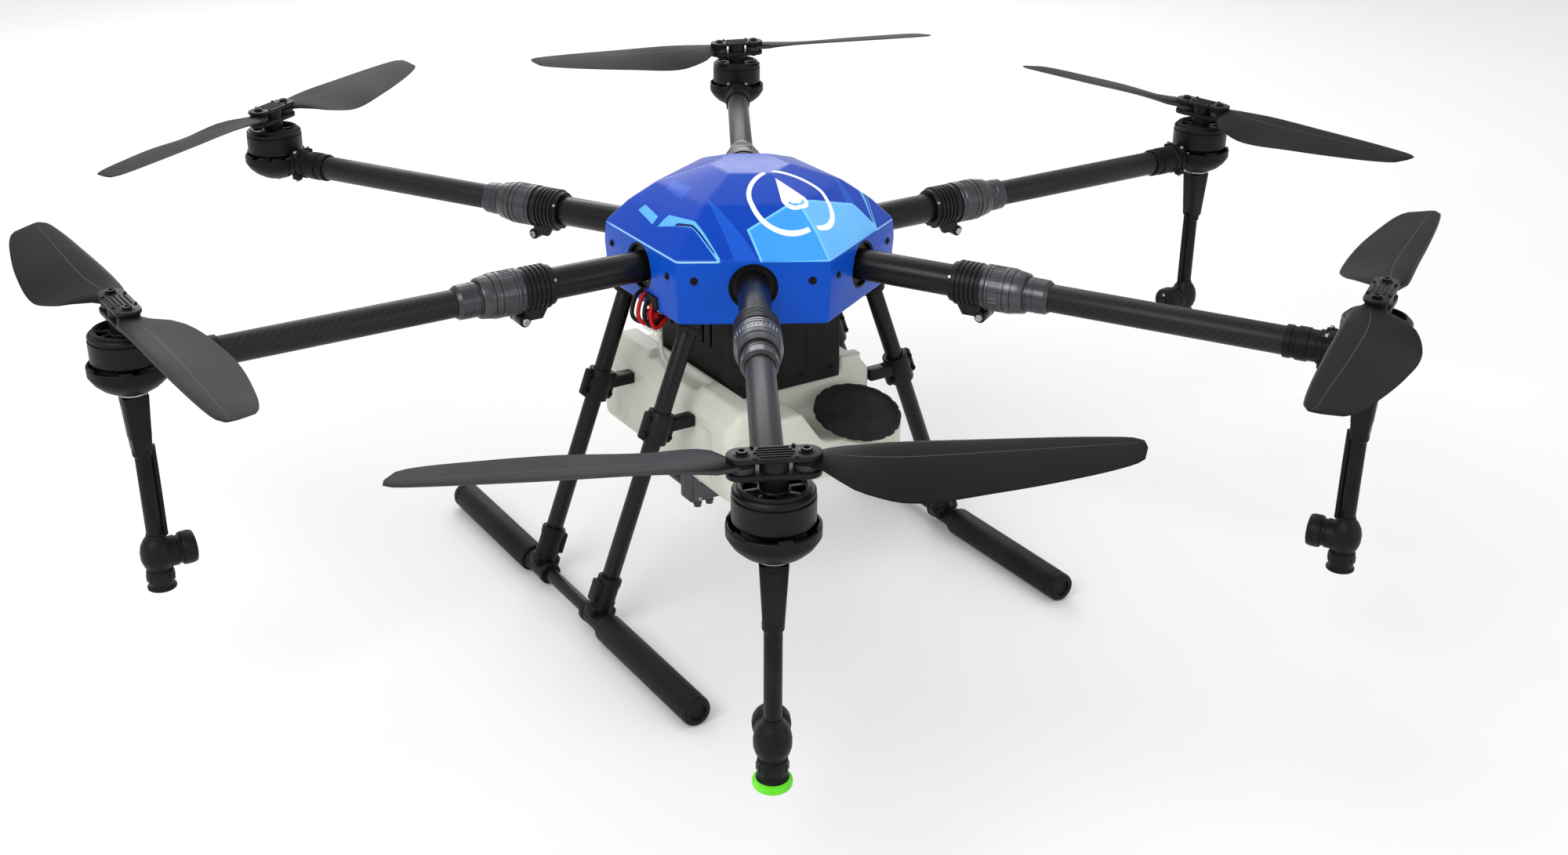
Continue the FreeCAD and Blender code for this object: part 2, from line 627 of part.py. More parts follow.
def blade(hand):
    """One folding blade along +X from its pin, with the eye that the pin passes through."""
    sections = [blade_section(*station, hand) for station in BLADE_STATIONS]
    leaf = Part.makeLoft(sections, True, True)
    pin_x = V(BLADE_PIN_R, 0, 0)
    low = BLADE_Z - BLADE_EYE_H / 2
    eye = cyl(BLADE_EYE_D, BLADE_EYE_H, at_motor(low) + pin_x)
    root = WHEEL_RADIUS + BLADE_STATIONS[0][0] * PROP_R
    half = BLADE_STATIONS[0][1] / 2
    neck = box(WHEEL_RADIUS + BLADE_PIN_R, root + BODY_GAP, -half, half,
               RIM_ABOVE_ARM + BLADE_Z - BLADE_STATIONS[0][4] / 2,
               RIM_ABOVE_ARM + BLADE_Z + BLADE_STATIONS[0][4] / 2)
    hole = cyl(BLADE_PIN_D + 2 * RUN_FIT, BLADE_EYE_H, at_motor(low) + pin_x)
    return fuse([leaf, eye, neck]).cut(hole)


# --- Spray lance ----------------------------------------------------------------------------
def spray_lance(ringed):
    """Bracket, rod, nozzle body with its check valve and hose, hung under a motor."""
    down = V(0, 0, -1)
    x = WHEEL_RADIUS
    flange_d, flange_t = LANCE_FLANGE
    top_d, end_d, length = LANCE_CONE
    cone_z = BASE_UNDERSIDE - flange_t
    rod_z = cone_z - length
    body_z = rod_z - LANCE_ROD_LENGTH
    ring_z = body_z - NOZZLE_BODY_H
    bracket = fuse([cyl(flange_d, flange_t, V(x, 0, cone_z)),
                    cone(top_d, end_d, length, V(x, 0, cone_z), down)])
    rod = cyl(LANCE_ROD_D, LANCE_ROD_LENGTH, V(x, 0, body_z))
    valve = cyl(VALVE_D, VALVE_REACH, V(x, 0, body_z - VALVE_DROP), V(-1, 0, 0))
    body = fuse([cyl(NOZZLE_BODY_D, NOZZLE_BODY_H, V(x, 0, ring_z)), valve])
    hose_end = body_z - VALVE_DROP + VALVE_D / 2
    hose = cyl(HOSE_D, BASE_UNDERSIDE - hose_end, V(x - HOSE_OFFSET, 0, hose_end))
    pieces = [bracket, rod, body, hose.cut(fuse([bracket, rod, body]))]
    if ringed:
        ring = cyl(NOZZLE_RING_D, NOZZLE_RING_H, V(x, 0, ring_z), down)
        tip_d, tip_h = NOZZLE_TIP
        pieces.append(fuse([ring, cyl(tip_d, tip_h, V(x, 0, ring_z - NOZZLE_RING_H), down)]))
    return pieces


# --- Battery, tank and pump -----------------------------------------------------------------
def battery_tray():
    """Battery bay under the hub, open at the back."""
    outer = box(-TRAY_HALF_WIDTH, TRAY_HALF_WIDTH, TRAY_FRONT, TRAY_BACK, TRAY_BOTTOM, PLATE_UNDERSIDE)
    half_inner = TRAY_HALF_WIDTH - TRAY_WALL
    inner = box(-half_inner, half_inner, TRAY_FRONT + TRAY_WALL, TRAY_BACK,
                TRAY_BOTTOM + TRAY_WALL, PLATE_UNDERSIDE - TRAY_WALL)
    return outer.cut(inner)


def battery_pack():
    """Battery with a pull handle at its back end."""
    side = TRAY_HALF_WIDTH - TRAY_WALL - BATTERY_SIDE_GAP
    front = TRAY_FRONT + TRAY_WALL + BATTERY_SIDE_GAP
    back = front + BATTERY_LENGTH
    low = TRAY_BOTTOM + TRAY_WALL + BODY_GAP
    pack = box(-side, side, front, back, low, low + BATTERY_HEIGHT)
    width, reach, height = BATTERY_HANDLE
    middle = low + BATTERY_HEIGHT / 2
    handle = box(-width / 2, width / 2, back, back + reach, middle - height / 2, middle + height / 2)
    gap = box(-width / 2 + BATTERY_HANDLE_BAR, width / 2 - BATTERY_HANDLE_BAR, back,
              back + reach - BATTERY_HANDLE_BAR, middle - height, middle + height)
    return fuse([pack, handle.cut(gap)])


def tank_block(inset):
    """Tank's outer or, with an inset, inner shape: a rounded box with a channel and a filler pocket."""
    wide = TANK_HALF_WIDTH - inset
    long = TANK_HALF_LENGTH - inset
    block = box(-wide, wide, -long, long, TANK_BOTTOM + inset, TANK_TOP - inset)
    upright = [e for e in block.Edges if abs(e.tangentAt(0).z) > 0.9]
    block = block.makeFillet(TANK_CORNER_R - inset, upright)
    foot = [e for e in block.Edges if e.BoundBox.ZMax < TANK_BOTTOM + inset + TANK_WALL]
    block = block.makeFillet(TANK_FOOT_R - inset, foot)
    bed = TRAY_HALF_WIDTH + TANK_BED_SIDE_GAP + inset
    channel = box(-bed, bed, -2 * long, 2 * long, TRAY_BOTTOM - inset, TANK_TOP)
    left = POCKET_X - inset
    pocket = plate_xz([(left, POCKET_Z - inset), (2 * wide, POCKET_Z - inset), (2 * wide, TANK_TOP),
                       (left - POCKET_SLOPE, TANK_TOP)], -2 * long, POCKET_Y + inset)
    return block.cut(channel).cut(pocket)


def filler_axis():
    """Direction of the filler neck, tilted forward."""
    tilt = math.radians(FILLER_TILT)
    return V(0, -math.sin(tilt), math.cos(tilt))


def tank_body():
    """Moulded tank with a tilted filler neck standing in its front pocket."""
    axis = filler_axis()
    seat = V(FILLER_X, FILLER_Y, POCKET_Z)
    half_depth = NECK_SWELL_DEPTH / 2
    swell = fuse([cone(NECK_BORE_D, NECK_SWELL_D, half_depth, seat - axis * NECK_SWELL_DEPTH, axis),
                  cyl(NECK_SWELL_D, half_depth, seat - axis * half_depth, axis)])
    sunk = 2 * TANK_WALL
    neck = cyl(NECK_D, NECK_H + sunk, seat - axis * sunk, axis)
    outer = fuse([tank_block(0.0), swell, neck])
    bore = cyl(NECK_BORE_D, NECK_H + NECK_SWELL_DEPTH,
               seat - axis * (NECK_SWELL_DEPTH - TANK_WALL), axis)
    return outer.cut(tank_block(TANK_WALL)).cut(bore)


def tank_cap():
    """Large screw cap with finger grips round its skirt."""
    axis = filler_axis()
    seat = V(FILLER_X, FILLER_Y, POCKET_Z)
    top_of_neck = NECK_H + BODY_GAP
    base = top_of_neck + CAP_ROOF - CAP_H
    lift = CAP_D / 2 * math.tan(math.radians(FILLER_TILT)) + STANDING_GAP
    skirt = max(base, lift)
    body = cyl(CAP_D, top_of_neck + CAP_ROOF - skirt, seat + axis * skirt, axis)
    room = cyl(NECK_D + 2 * CAP_THREAD_FIT, top_of_neck - skirt, seat + axis * skirt, axis)
    body = body.cut(room)
    frame = FreeCAD.Rotation(UP, axis)
    for k in range(CAP_GRIPS):
        spot = frame.multVec(polar(CAP_D / 2 + CAP_GRIP_OUTSET, 360.0 / CAP_GRIPS * k))
        body = body.cut(cyl(CAP_GRIP_D, top_of_neck - skirt, seat + axis * skirt + spot, axis))
    return body


def spray_pump():
    """Diaphragm pump under the tank: a motor along Y behind its head."""
    width, length, height = PUMP_HEAD
    head = box(PUMP_X - width / 2, PUMP_X + width / 2, PUMP_Y - length, PUMP_Y,
               TANK_BOTTOM - height, TANK_BOTTOM)
    axis_z = TANK_BOTTOM - PUMP_MOTOR_D / 2
    motor = cyl(PUMP_MOTOR_D, PUMP_MOTOR_LENGTH, V(PUMP_X, PUMP_Y, axis_z), ALONG_Y)
    return [head, motor]


# --- Landing gear ---------------------------------------------------------------------------
LEG_RUN = V(LEG_TOP_X - SKID_HALF_SPREAD, 0, RIM_HEIGHT - LEG_TOP_BELOW_RIM)
LEG_UP = V(LEG_RUN.x, 0, LEG_RUN.z)
LEG_UP.normalize()
LEG_FOOT = V(SKID_HALF_SPREAD, LEG_HALF_SPACING, SKID_Z)


def on_leg(z):
    """Point on the leg axis at a height above the ground."""
    return LEG_FOOT + LEG_UP * ((z - SKID_Z) / LEG_UP.z)


def leg_rod(diameter, z0, z1):
    """Cylinder on the leg axis between two heights."""
    start = on_leg(z0)
    return cyl(diameter, (on_leg(z1) - start).Length, start, LEG_UP)


def leg_tube():
    """Slanted carbon leg from the tee to the hub bracket."""
    start = LEG_FOOT + LEG_UP * TEE_LEG_SEAT
    top = on_leg(PLATE_UNDERSIDE - BRACKET_FLANGE[2] - LEG_D / 2)
    length = (top - start).Length
    return tube(LEG_D, LEG_D - 2 * LEG_WALL, length, start, LEG_UP)


def leg_bracket():
    """Sleeve and flange that hang a leg from the lower hub plate."""
    flange_x, flange_y, flange_t = BRACKET_FLANGE
    top = on_leg(PLATE_UNDERSIDE)
    flange = box(top.x - flange_x / 2, top.x + flange_x / 2, top.y - flange_y / 2, top.y + flange_y / 2,
                 PLATE_UNDERSIDE - flange_t, PLATE_UNDERSIDE)
    sleeve = leg_rod(LEG_SLEEVE_D, PLATE_UNDERSIDE - LEG_SLEEVE_DROP, PLATE_UNDERSIDE + LEG_D)
    sleeve = sleeve.cut(box(0, SKID_HALF_SPREAD, 0, SKID_HALF_SPREAD, PLATE_UNDERSIDE, RIM_Z))
    bore = leg_rod(LEG_D, PLATE_UNDERSIDE - LEG_SLEEVE_DROP, PLATE_UNDERSIDE - flange_t - LEG_D / 2)
    return fuse([flange, sleeve]).cut(bore)


def tank_clamp():
    """Clamp round a leg with a lug that reaches the tank's side."""
    z = RIM_Z - TANK_CLAMP_BELOW_RIM
    middle = on_leg(z)
    start = middle - LEG_UP * (TANK_CLAMP_LENGTH / 2)
    ring = cyl(LEG_SLEEVE_D, TANK_CLAMP_LENGTH, start, LEG_UP)
    half_lug = CLAMP_LUG_WIDTH / 2
    lug = box(TANK_HALF_WIDTH, middle.x, middle.y - half_lug, middle.y + half_lug,
              z - CLAMP_LUG_HEIGHT / 2, z + CLAMP_LUG_HEIGHT / 2)
    return fuse([ring, lug]).cut(cyl(LEG_D, TANK_CLAMP_LENGTH, start, LEG_UP))


def skid_tee():
    """Tee that joins a leg to its skid tube."""
    start = LEG_FOOT - V(0, TEE_HALF_LENGTH, 0)
    body = fuse([cyl(TEE_D, 2 * TEE_HALF_LENGTH, start, ALONG_Y),
                 cyl(TEE_UPRIGHT_D, TEE_UPRIGHT_LENGTH, LEG_FOOT, LEG_UP)])
    skid_bore = cyl(SKID_TUBE_D, 2 * TEE_HALF_LENGTH, start, ALONG_Y)
    leg_bore = cyl(LEG_D, TEE_UPRIGHT_LENGTH, LEG_FOOT + LEG_UP * TEE_LEG_SEAT, LEG_UP)
    return body.cut(skid_bore).cut(leg_bore)


def skid_tube():
    """Tube along the ground under two legs."""
    return cyl(SKID_TUBE_D, 2 * SKID_TUBE_HALF, V(SKID_HALF_SPREAD, -SKID_TUBE_HALF, SKID_Z), ALONG_Y)


def skid_sleeve():
    """Soft sleeve on one end of a skid tube."""
    start = V(SKID_HALF_SPREAD, SLEEVE_START, SKID_Z)
    return tube(SLEEVE_D, SKID_TUBE_D, SLEEVE_END - SLEEVE_START, start, ALONG_Y)


def skid_end_cap():
    """Rounded rubber cap that closes a skid tube."""
    start = V(SKID_HALF_SPREAD, SLEEVE_END, SKID_Z)
    cap = cyl(SLEEVE_D, END_CAP_LENGTH, start, ALONG_Y)
    rim = [e for e in cap.Edges if e.BoundBox.YMin > SLEEVE_END + END_CAP_LENGTH - BODY_GAP]
    cap = cap.makeFillet(END_CAP_ROUND, rim)
    return cap.cut(cyl(SKID_TUBE_D, SKID_TUBE_HALF - SLEEVE_END, start, ALONG_Y))


# --- Every node -----------------------------------------------------------------------------
def root_nodes():
    """Pieces of the hub, the landing gear and the spray system."""
    sleeves = four_corners(skid_sleeve()) + four_corners(skid_end_cap())
    return {
        "cover_shell": cover_shell(),
        "cover_screws": cover_screws(),
        "cover_brackets": [turned(cover_bracket(), ARM_STEP * k) for k in range(6)],
        "hub_plates": hub_plates(),
        "arm_root_clamps": on_every_arm(arm_root_clamp()),
        "inner_arm_tubes": on_every_arm(inner_arm_tube()),
        "inner_fold_sockets": on_every_arm(inner_fold_socket()),
        "fold_pins": on_every_arm(fold_pin()),
        "flight_electronics": flight_electronics(),
        "battery_tray": battery_tray(),
        "battery_pack": battery_pack(),
        "tank_body": tank_body(),
        "tank_cap": tank_cap(),
        "tank_clamps": four_corners(tank_clamp()),
        "spray_pump": spray_pump(),
        "leg_brackets": four_corners(leg_bracket()),
        "leg_tubes": four_corners(leg_tube()),
        "skid_tees": four_corners(skid_tee()),
        "skid_tubes": mirrored_pair(skid_tube(), OUT),
        "skid_sleeves": sleeves,
    }


def arm_nodes(name, heading):
    """Pieces that fold, turn or slide on one arm."""
    hand = -1 if name in CLOCKWISE_ROTORS else 1
    spin = PROP_HEADINGS[name] - heading
    blades = {"a": blade(hand), "b": turned(blade(hand), 180.0, MOTOR)}
    nodes = {"outer_arm": outer_arm(), "motor_base": motor_base(), "lock_collar": [lock_collar()],
             "rotor": [turned(s, spin, MOTOR) for s in rotor()]}
    for letter, shape in blades.items():
        nodes["blade_" + letter] = [turned(shape, spin, MOTOR)]
    if name in SPRAY_ARMS:
        nodes["spray_lance"] = spray_lance(name == RINGED_LANCE)
    return {node + "_" + name: [on_arm(s, heading) for s in shapes] for node, shapes in nodes.items()}


def main():
    os.makedirs("parts", exist_ok=True)
    nodes = root_nodes()
    for name, heading in ARM_HEADINGS.items():
        nodes.update(arm_nodes(name, heading))
    for name, shapes in nodes.items():
        shape = Part.makeCompound(shapes) if isinstance(shapes, list) else shapes
        shape.exportStep("parts/" + name + ".step")
    print(len(nodes), "nodes")


main()
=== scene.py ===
"""Six-arm folding crop sprayer: finished pieces round the packed frame.

Pieces are shaped in millimetres at their own origin, set in their place, and scaled to metres once.
The frame's axes hold throughout: +Z up, -Y towards the front, arms named by side seen from above.
"""

import math

import bmesh
import bpy
from bpy.props import FloatProperty, FloatVectorProperty, IntProperty, PointerProperty
from mathutils import Matrix, Vector


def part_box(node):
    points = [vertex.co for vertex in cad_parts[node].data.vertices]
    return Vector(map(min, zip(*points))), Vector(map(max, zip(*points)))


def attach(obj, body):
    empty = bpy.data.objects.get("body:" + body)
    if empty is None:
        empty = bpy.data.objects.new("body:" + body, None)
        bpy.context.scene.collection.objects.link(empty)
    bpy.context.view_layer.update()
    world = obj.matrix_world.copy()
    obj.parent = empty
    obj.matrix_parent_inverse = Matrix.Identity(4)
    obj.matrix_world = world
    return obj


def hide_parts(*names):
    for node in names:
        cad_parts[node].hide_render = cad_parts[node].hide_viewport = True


bl_info = {
    "name": "Six-arm crop sprayer",
    "version": (1, 0, 0),
    "blender": (4, 5, 0),
    "location": "View3D > Sidebar > Sprayer",
    "description": "Builds the finished pieces of a six-arm folding crop sprayer",
    "category": "Add Mesh",
}

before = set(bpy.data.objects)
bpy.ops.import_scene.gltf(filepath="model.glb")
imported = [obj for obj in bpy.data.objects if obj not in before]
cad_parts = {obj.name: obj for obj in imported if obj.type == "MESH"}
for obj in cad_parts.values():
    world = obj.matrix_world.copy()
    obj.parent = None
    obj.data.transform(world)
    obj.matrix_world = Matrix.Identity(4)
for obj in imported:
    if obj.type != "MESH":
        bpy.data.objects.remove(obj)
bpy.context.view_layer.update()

MM = 0.001
ARMS = ("right", "back_right", "back_left", "left", "front_left", "front_right")
SPRAY_ARMS = ("right", "left", "front_left", "front_right")
RINGED_LANCE = "front_left"
CLOCKWISE_ROTORS = ("left", "back_right", "front_right")
PROP_HEADINGS = {
    "right": 100.5,
    "back_right": 164.5,
    "back_left": 34.5,
    "left": 92,
    "front_left": 155,
    "front_right": 31,
}


def box_mm(node):
    """Lowest and highest corner of a node of the frame, in millimetres."""
    low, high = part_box(node)
    return low / MM, high / MM


def middle_mm(node):
    """Middle of a node's box, in millimetres."""
    low, high = box_mm(node)
    return (low + high) / 2


# --- Places and sizes, from the frame ---------------------------------------------------------
ARM_Z = middle_mm("inner_arm_tubes").z
RIM_ABOVE_ARM = 8
RIM_Z = ARM_Z + RIM_ABOVE_ARM
MOTOR_X = middle_mm("rotor_right").x
INNER_TUBE_END = box_mm("inner_arm_tubes")[1].x
TRAY_LOW, TRAY_HIGH = box_mm("battery_tray")
TANK_LOW, TANK_HIGH = box_mm("tank_body")
BATTERY_LOW, BATTERY_HIGH = box_mm("battery_pack")
SKID_LOW, SKID_HIGH = box_mm("skid_tubes")
SLEEVE_LOW, SLEEVE_HIGH = box_mm("skid_sleeves")
PUMP_LOW, PUMP_HIGH = box_mm("spray_pump")
PLATE_LOW, PLATE_HIGH = box_mm("hub_plates")
SKID_Z = (SKID_LOW.z + SKID_HIGH.z) / 2
SKID_X = SKID_HIGH.x - 8

# --- Sizes of the finished pieces, in millimetres ---------------------------------------------
COVER_RINGS = ((163, -44), (167, 8), (165, 30), (139, 54), (105, 76.5), (45, 96))
COVER_WALL = 2.5
COVER_HOLE_R = 27
COVER_HOLE_REACH = 90
COVER_SCREW_SIDE = 64
COVER_SCREW_Z = 8
COVER_APOTHEM = 144.6
HUB_BOLT_REACHES = (92, 116)
HUB_BOLT_SIDE = 19
# distances along an arm from the hub axis, and drops below the arm axis
SPLIT_X = 291
SOCKET_START = 254
SPLIT_GAP = 0.5
FOLD_PIN_DROP = 31.5
FOLD_WEB_DROP = 14
FOLD_EAR_R = 6.5
TUBE_ROOT = 60
BARREL_R = 19
BARREL_FLANGE = 5.5
OUTER_TUBE_R = 15
OUTER_TUBE_SEAT = 65
BARREL_END = 366
COLLAR_START = 297.3
BASE_R = 39.5
BASE_DEPTH = 30
BELL_R = 34.75
BLADE_PIN_R = 26
BLADE_Z = 53.3
PROP_R = 305
# share of the radius, chord, leading-edge offset, pitch in degrees and thickness at each station
BLADE_STATIONS = (
    (0.080, 18, 9, 1, 9.4),
    (0.115, 28, 13, 3, 8.2),
    (0.150, 50, 18, 4, 7.4),
    (0.200, 66, 19, 8, 6.2),
    (0.330, 78, 19, 13, 5.2),
    (0.560, 73, 18, 10, 4.2),
    (0.790, 59, 16, 8, 3.2),
    (0.935, 44, 13, 6, 2.4),
    (0.985, 30, 10, 5.5, 2),
    (1.000, 12, 6, 5, 1.6),
)
# drops below the motor base, and the height of the bracket
LANCE_BRACKET = 59
LANCE_ROD_END = 163
CHECK_VALVE_DROP = 181
NOZZLE_RING_DROP = 218
# half thickness of a four-digit aerofoil: factors and powers of the share of the chord
AEROFOIL = ((1.4845, 0.5), (-0.63, 1), (-1.758, 2), (1.4215, 3), (-0.5075, 4))
LEG_TOP_X = 132
LEG_TOP_Z = RIM_Z - 85
LEG_Y = 71.5
LEG_R = 10
LEG_SLEEVE_DROP = 36
TANK_CLAMP_Z = RIM_Z - 172
POCKET_X = 6
POCKET_Y = -76
POCKET_Z = 207
POCKET_SLOPE = 44
FILLER = Vector((64, -128, POCKET_Z))
FILLER_TILT = 14
NECK_BORE_R = 30
SKIN_SMOOTHINGS = 7
NECK_HEIGHT = 18
CAP_R = 51
BAY_WALL = 2.5
GRIP_DEPTH = 1.7

# --- Placing ----------------------------------------------------------------------------------


def shift(x=0, y=0, z=0):
    """Moves a part."""
    return Matrix.Translation((x, y, z))


def turn(degrees, axis="Z"):
    """Turns a part about an axis through its origin."""
    return Matrix.Rotation(math.radians(degrees), 4, axis)


ALONG_X = turn(90, "Y")
ALONG_Y = turn(-90, "X")
DOWN = turn(180, "X")


def heading(arm):
    """Heading of an arm, in degrees."""
    middle = middle_mm("rotor_" + arm)
    return math.degrees(math.atan2(middle.y, middle.x))


def on_arm(arm):
    """From an arm's own axis, along +X from the hub, to its place."""
    return shift(z=ARM_Z) @ turn(heading(arm))


def on_motor(arm):
    """From the middle of a motor's rim to its place, with +X away from the hub."""
    return on_arm(arm) @ shift(x=MOTOR_X, z=RIM_ABOVE_ARM)


def on_prop(arm):
    """From the motor axis at the rim to its place, with +X along blade a."""
    return on_motor(arm) @ turn(PROP_HEADINGS[arm] - heading(arm))


def aimed(start, end):
    """Sets a part's +Z along a line, with its origin at the start."""
    way = Vector(end) - Vector(start)
    return Matrix.Translation(start) @ way.to_track_quat("Z", "Y").to_matrix().to_4x4()


# --- Shaping ----------------------------------------------------------------------------------


def soften(part, width, segments=2, angle=30, where=None):
    """Rounds every edge sharper than an angle."""
    edges = [
        edge
        for edge in part.edges
        if len(edge.link_faces) == 2
        and edge.calc_face_angle(0) > math.radians(angle)
        and (where is None or where(edge))
    ]
    bmesh.ops.bevel(
        part,
        geom=edges,
        offset=width,
        offset_type="OFFSET",
        segments=segments,
        profile=0.5,
        affect="EDGES",
        clamp_overlap=True,
        material=-1,
    )
    return part


def block(x, y, z, ease=0, segments=2):
    """Box centred on the origin with rounded edges."""
    part = bmesh.new()
    bmesh.ops.create_cube(part, size=1)
    bmesh.ops.scale(part, vec=(x, y, z), verts=part.verts)
    if ease:
        soften(part, ease, segments)
    return part


def between(low, high, ease=0, segments=2):
    """Box between two corners with rounded edges."""
    size = Vector(high) - Vector(low)
    part = block(*size, ease=ease, segments=segments)
    bmesh.ops.translate(part, vec=(Vector(low) + Vector(high)) / 2, verts=part.verts)
    return part


def upright_edge(edge):
    """Whether an edge runs along Z."""
    way = edge.verts[0].co - edge.verts[1].co
    return abs(way.z) > 0.9 * way.length


def round_bar(length, width, height, ease=0.4):
    """Bar with round ends, standing on z = 0."""
    part = block(length, width, height)
    bmesh.ops.translate(part, vec=(0, 0, height / 2), verts=part.verts)
    soften(part, width / 2 - 0.05, segments=10, where=upright_edge)
    if ease:
        soften(part, ease, 2, 60)
    return part


def turned(profile, steps=48, ease=0, segments=2):
    """Outline of (radius, height) points turned about Z, closed if its ends are off the axis."""
    part = bmesh.new()
    points = [part.verts.new((radius, 0, z)) for radius, z in profile]
    edges = [part.edges.new(pair) for pair in zip(points, points[1:])]
    if profile[0][0] > 0 or profile[-1][0] > 0:
        edges.append(part.edges.new((points[-1], points[0])))
    bmesh.ops.spin(
        part,
        geom=points + edges,
        cent=(0, 0, 0),
        axis=(0, 0, 1),
        dvec=(0, 0, 0),
        angle=math.tau,
        steps=steps,
        use_merge=True,
        use_duplicate=False,
    )
    bmesh.ops.remove_doubles(part, verts=part.verts, dist=1e-4)
    bmesh.ops.recalc_face_normals(part, faces=part.faces)
    if ease:
        soften(part, ease, segments)
    return wrap(part)


def wrap(part):
    """UV map in centimetres round and along Z, with no jump inside a face."""
    layer = part.loops.layers.uv.verify()
    for side in part.faces:
        centre = side.calc_center_median()
        facing = math.atan2(centre.y, centre.x)
        reach = max(centre.xy.length, 1)
        for loop in side.loops:
            spot = loop.vert.co
            angle = math.atan2(spot.y, spot.x) if spot.xy.length > 1e-3 else facing
            angle = facing + (angle - facing + math.pi) % math.tau - math.pi
            loop[layer].uv = (angle * reach / 10, spot.z / 10)
    return part


def rod(radius, length, ease=0, steps=40):
    """Solid rod from z = 0."""
    return turned(((0, 0), (radius, 0), (radius, length), (0, length)), steps, ease)


def pipe(outer, inner, length, ease=0.0, steps=48):
    """Tube from z = 0."""
    return turned(((inner, 0), (outer, 0), (outer, length), (inner, length)), steps, ease)


def bolt(radius, height, steps=20):
    """Socket-head bolt's head, standing on z = 0."""
    socket = radius * 0.52
    return turned(
        (
            (0, height * 0.45),
            (socket, height * 0.45),
            (socket, height * 0.97),
            (socket + 0.2, height),
            (radius * 0.9, height),
            (radius, height * 0.85),
            (radius, 0),
            (0, 0),
        ),
        steps,
    )


def nut(radius, height):
    """Six-sided nut with a stub of thread, standing on z = 0."""
    part = turned(((0, 0), (radius, 0), (radius, height), (0, height)), 6, 0.3, 1)
    thread = turned(
        ((0, 0), (radius * 0.5, 0), (radius * 0.5, height * 1.25), (0, height * 1.25)), 16, 0.2, 1
    )
    return joined(part, thread)


def joined(*parts):
    """Several parts as one, each still its own closed shell."""
    whole = bmesh.new()
    whole.loops.layers.uv.verify()
    for part in parts:
        part.loops.layers.uv.verify()
        scratch = bpy.data.meshes.new("scratch")
        part.to_mesh(scratch)
        part.free()
        whole.from_mesh(scratch)
        bpy.data.meshes.remove(scratch)
    return whole


def placed(part, place):
    """A part set in its place."""
    bmesh.ops.transform(part, matrix=place, verts=part.verts)
    if place.determinant() < 0:
        bmesh.ops.reverse_faces(part, faces=part.faces)
    return part


def lead(points, radius, sides=4):
    """Round wire or hose along a smooth line through its guide points."""
    curve = bpy.data.curves.new("scratch", "CURVE")
    curve.dimensions = "3D"
    curve.bevel_depth = radius
    curve.bevel_resolution = sides
    curve.use_fill_caps = True
    curve.resolution_u = 8
    spline = curve.splines.new("NURBS")
    spline.points.add(len(points) - 1)
    for spot, point in zip(spline.points, points):
        spot.co = (*point, 1)
    spline.order_u = 3
    spline.use_endpoint_u = True
    holder = bpy.data.objects.new("scratch", curve)
    mesh = bpy.data.meshes.new_from_object(holder)
    part = bmesh.new()
    part.from_mesh(mesh)
    bpy.data.objects.remove(holder)
    bpy.data.curves.remove(curve)
    bpy.data.meshes.remove(mesh)
    bmesh.ops.remove_doubles(part, verts=part.verts, dist=1e-4)
    bmesh.ops.recalc_face_normals(part, faces=part.faces)
    return part


def ring_of(part, sides, radius):
    """Loose ring of vertices; gives its vertices in order."""
    return bmesh.ops.create_circle(part, segments=sides, radius=radius, cap_ends=False)["verts"]


def ring_edges(ring):
    """Edges that lie in one ring of vertices."""
    members = set(ring)
    return [edge for edge in {e for v in ring for e in v.link_edges} if set(edge.verts) <= members]


def lofted(rings, part):
    """Skin between neighbouring rings, with both ends closed."""
    for near, far in zip(rings, rings[1:]):
        bmesh.ops.bridge_loops(part, edges=ring_edges(near) + ring_edges(far))
    bmesh.ops.holes_fill(part, edges=part.edges, sides=0)
    bmesh.ops.recalc_face_normals(part, faces=part.faces)
    return part


def carve(part, tools, remesh=0):
    """The part less each closed tool. With a remesh size the result becomes an even skin."""
    scratch = []

    def stand_in(shape):
        mesh = bpy.data.meshes.new("scratch")
        shape.to_mesh(mesh)
        shape.free()
        holder = bpy.data.objects.new("scratch", mesh)
        bpy.context.scene.collection.objects.link(holder)
        scratch.append(holder)
        return holder

    whole = stand_in(part)
    for tool in tools:
        step = whole.modifiers.new("cut", "BOOLEAN")
        step.operation = "DIFFERENCE"
        step.solver = "EXACT"
        step.object = stand_in(tool)
    if remesh:
        skin = whole.modifiers.new("skin", "REMESH")
        skin.mode = "VOXEL"
        skin.voxel_size = remesh
    graph = bpy.context.evaluated_depsgraph_get()
    mesh = bpy.data.meshes.new_from_object(whole.evaluated_get(graph))
    result = bmesh.new()
    result.from_mesh(mesh)
    bpy.data.meshes.remove(mesh)
    for holder in scratch:
        mesh = holder.data
        bpy.data.objects.remove(holder)
        bpy.data.meshes.remove(mesh)
    bmesh.ops.remove_doubles(result, verts=result.verts, dist=1e-3)
    return result


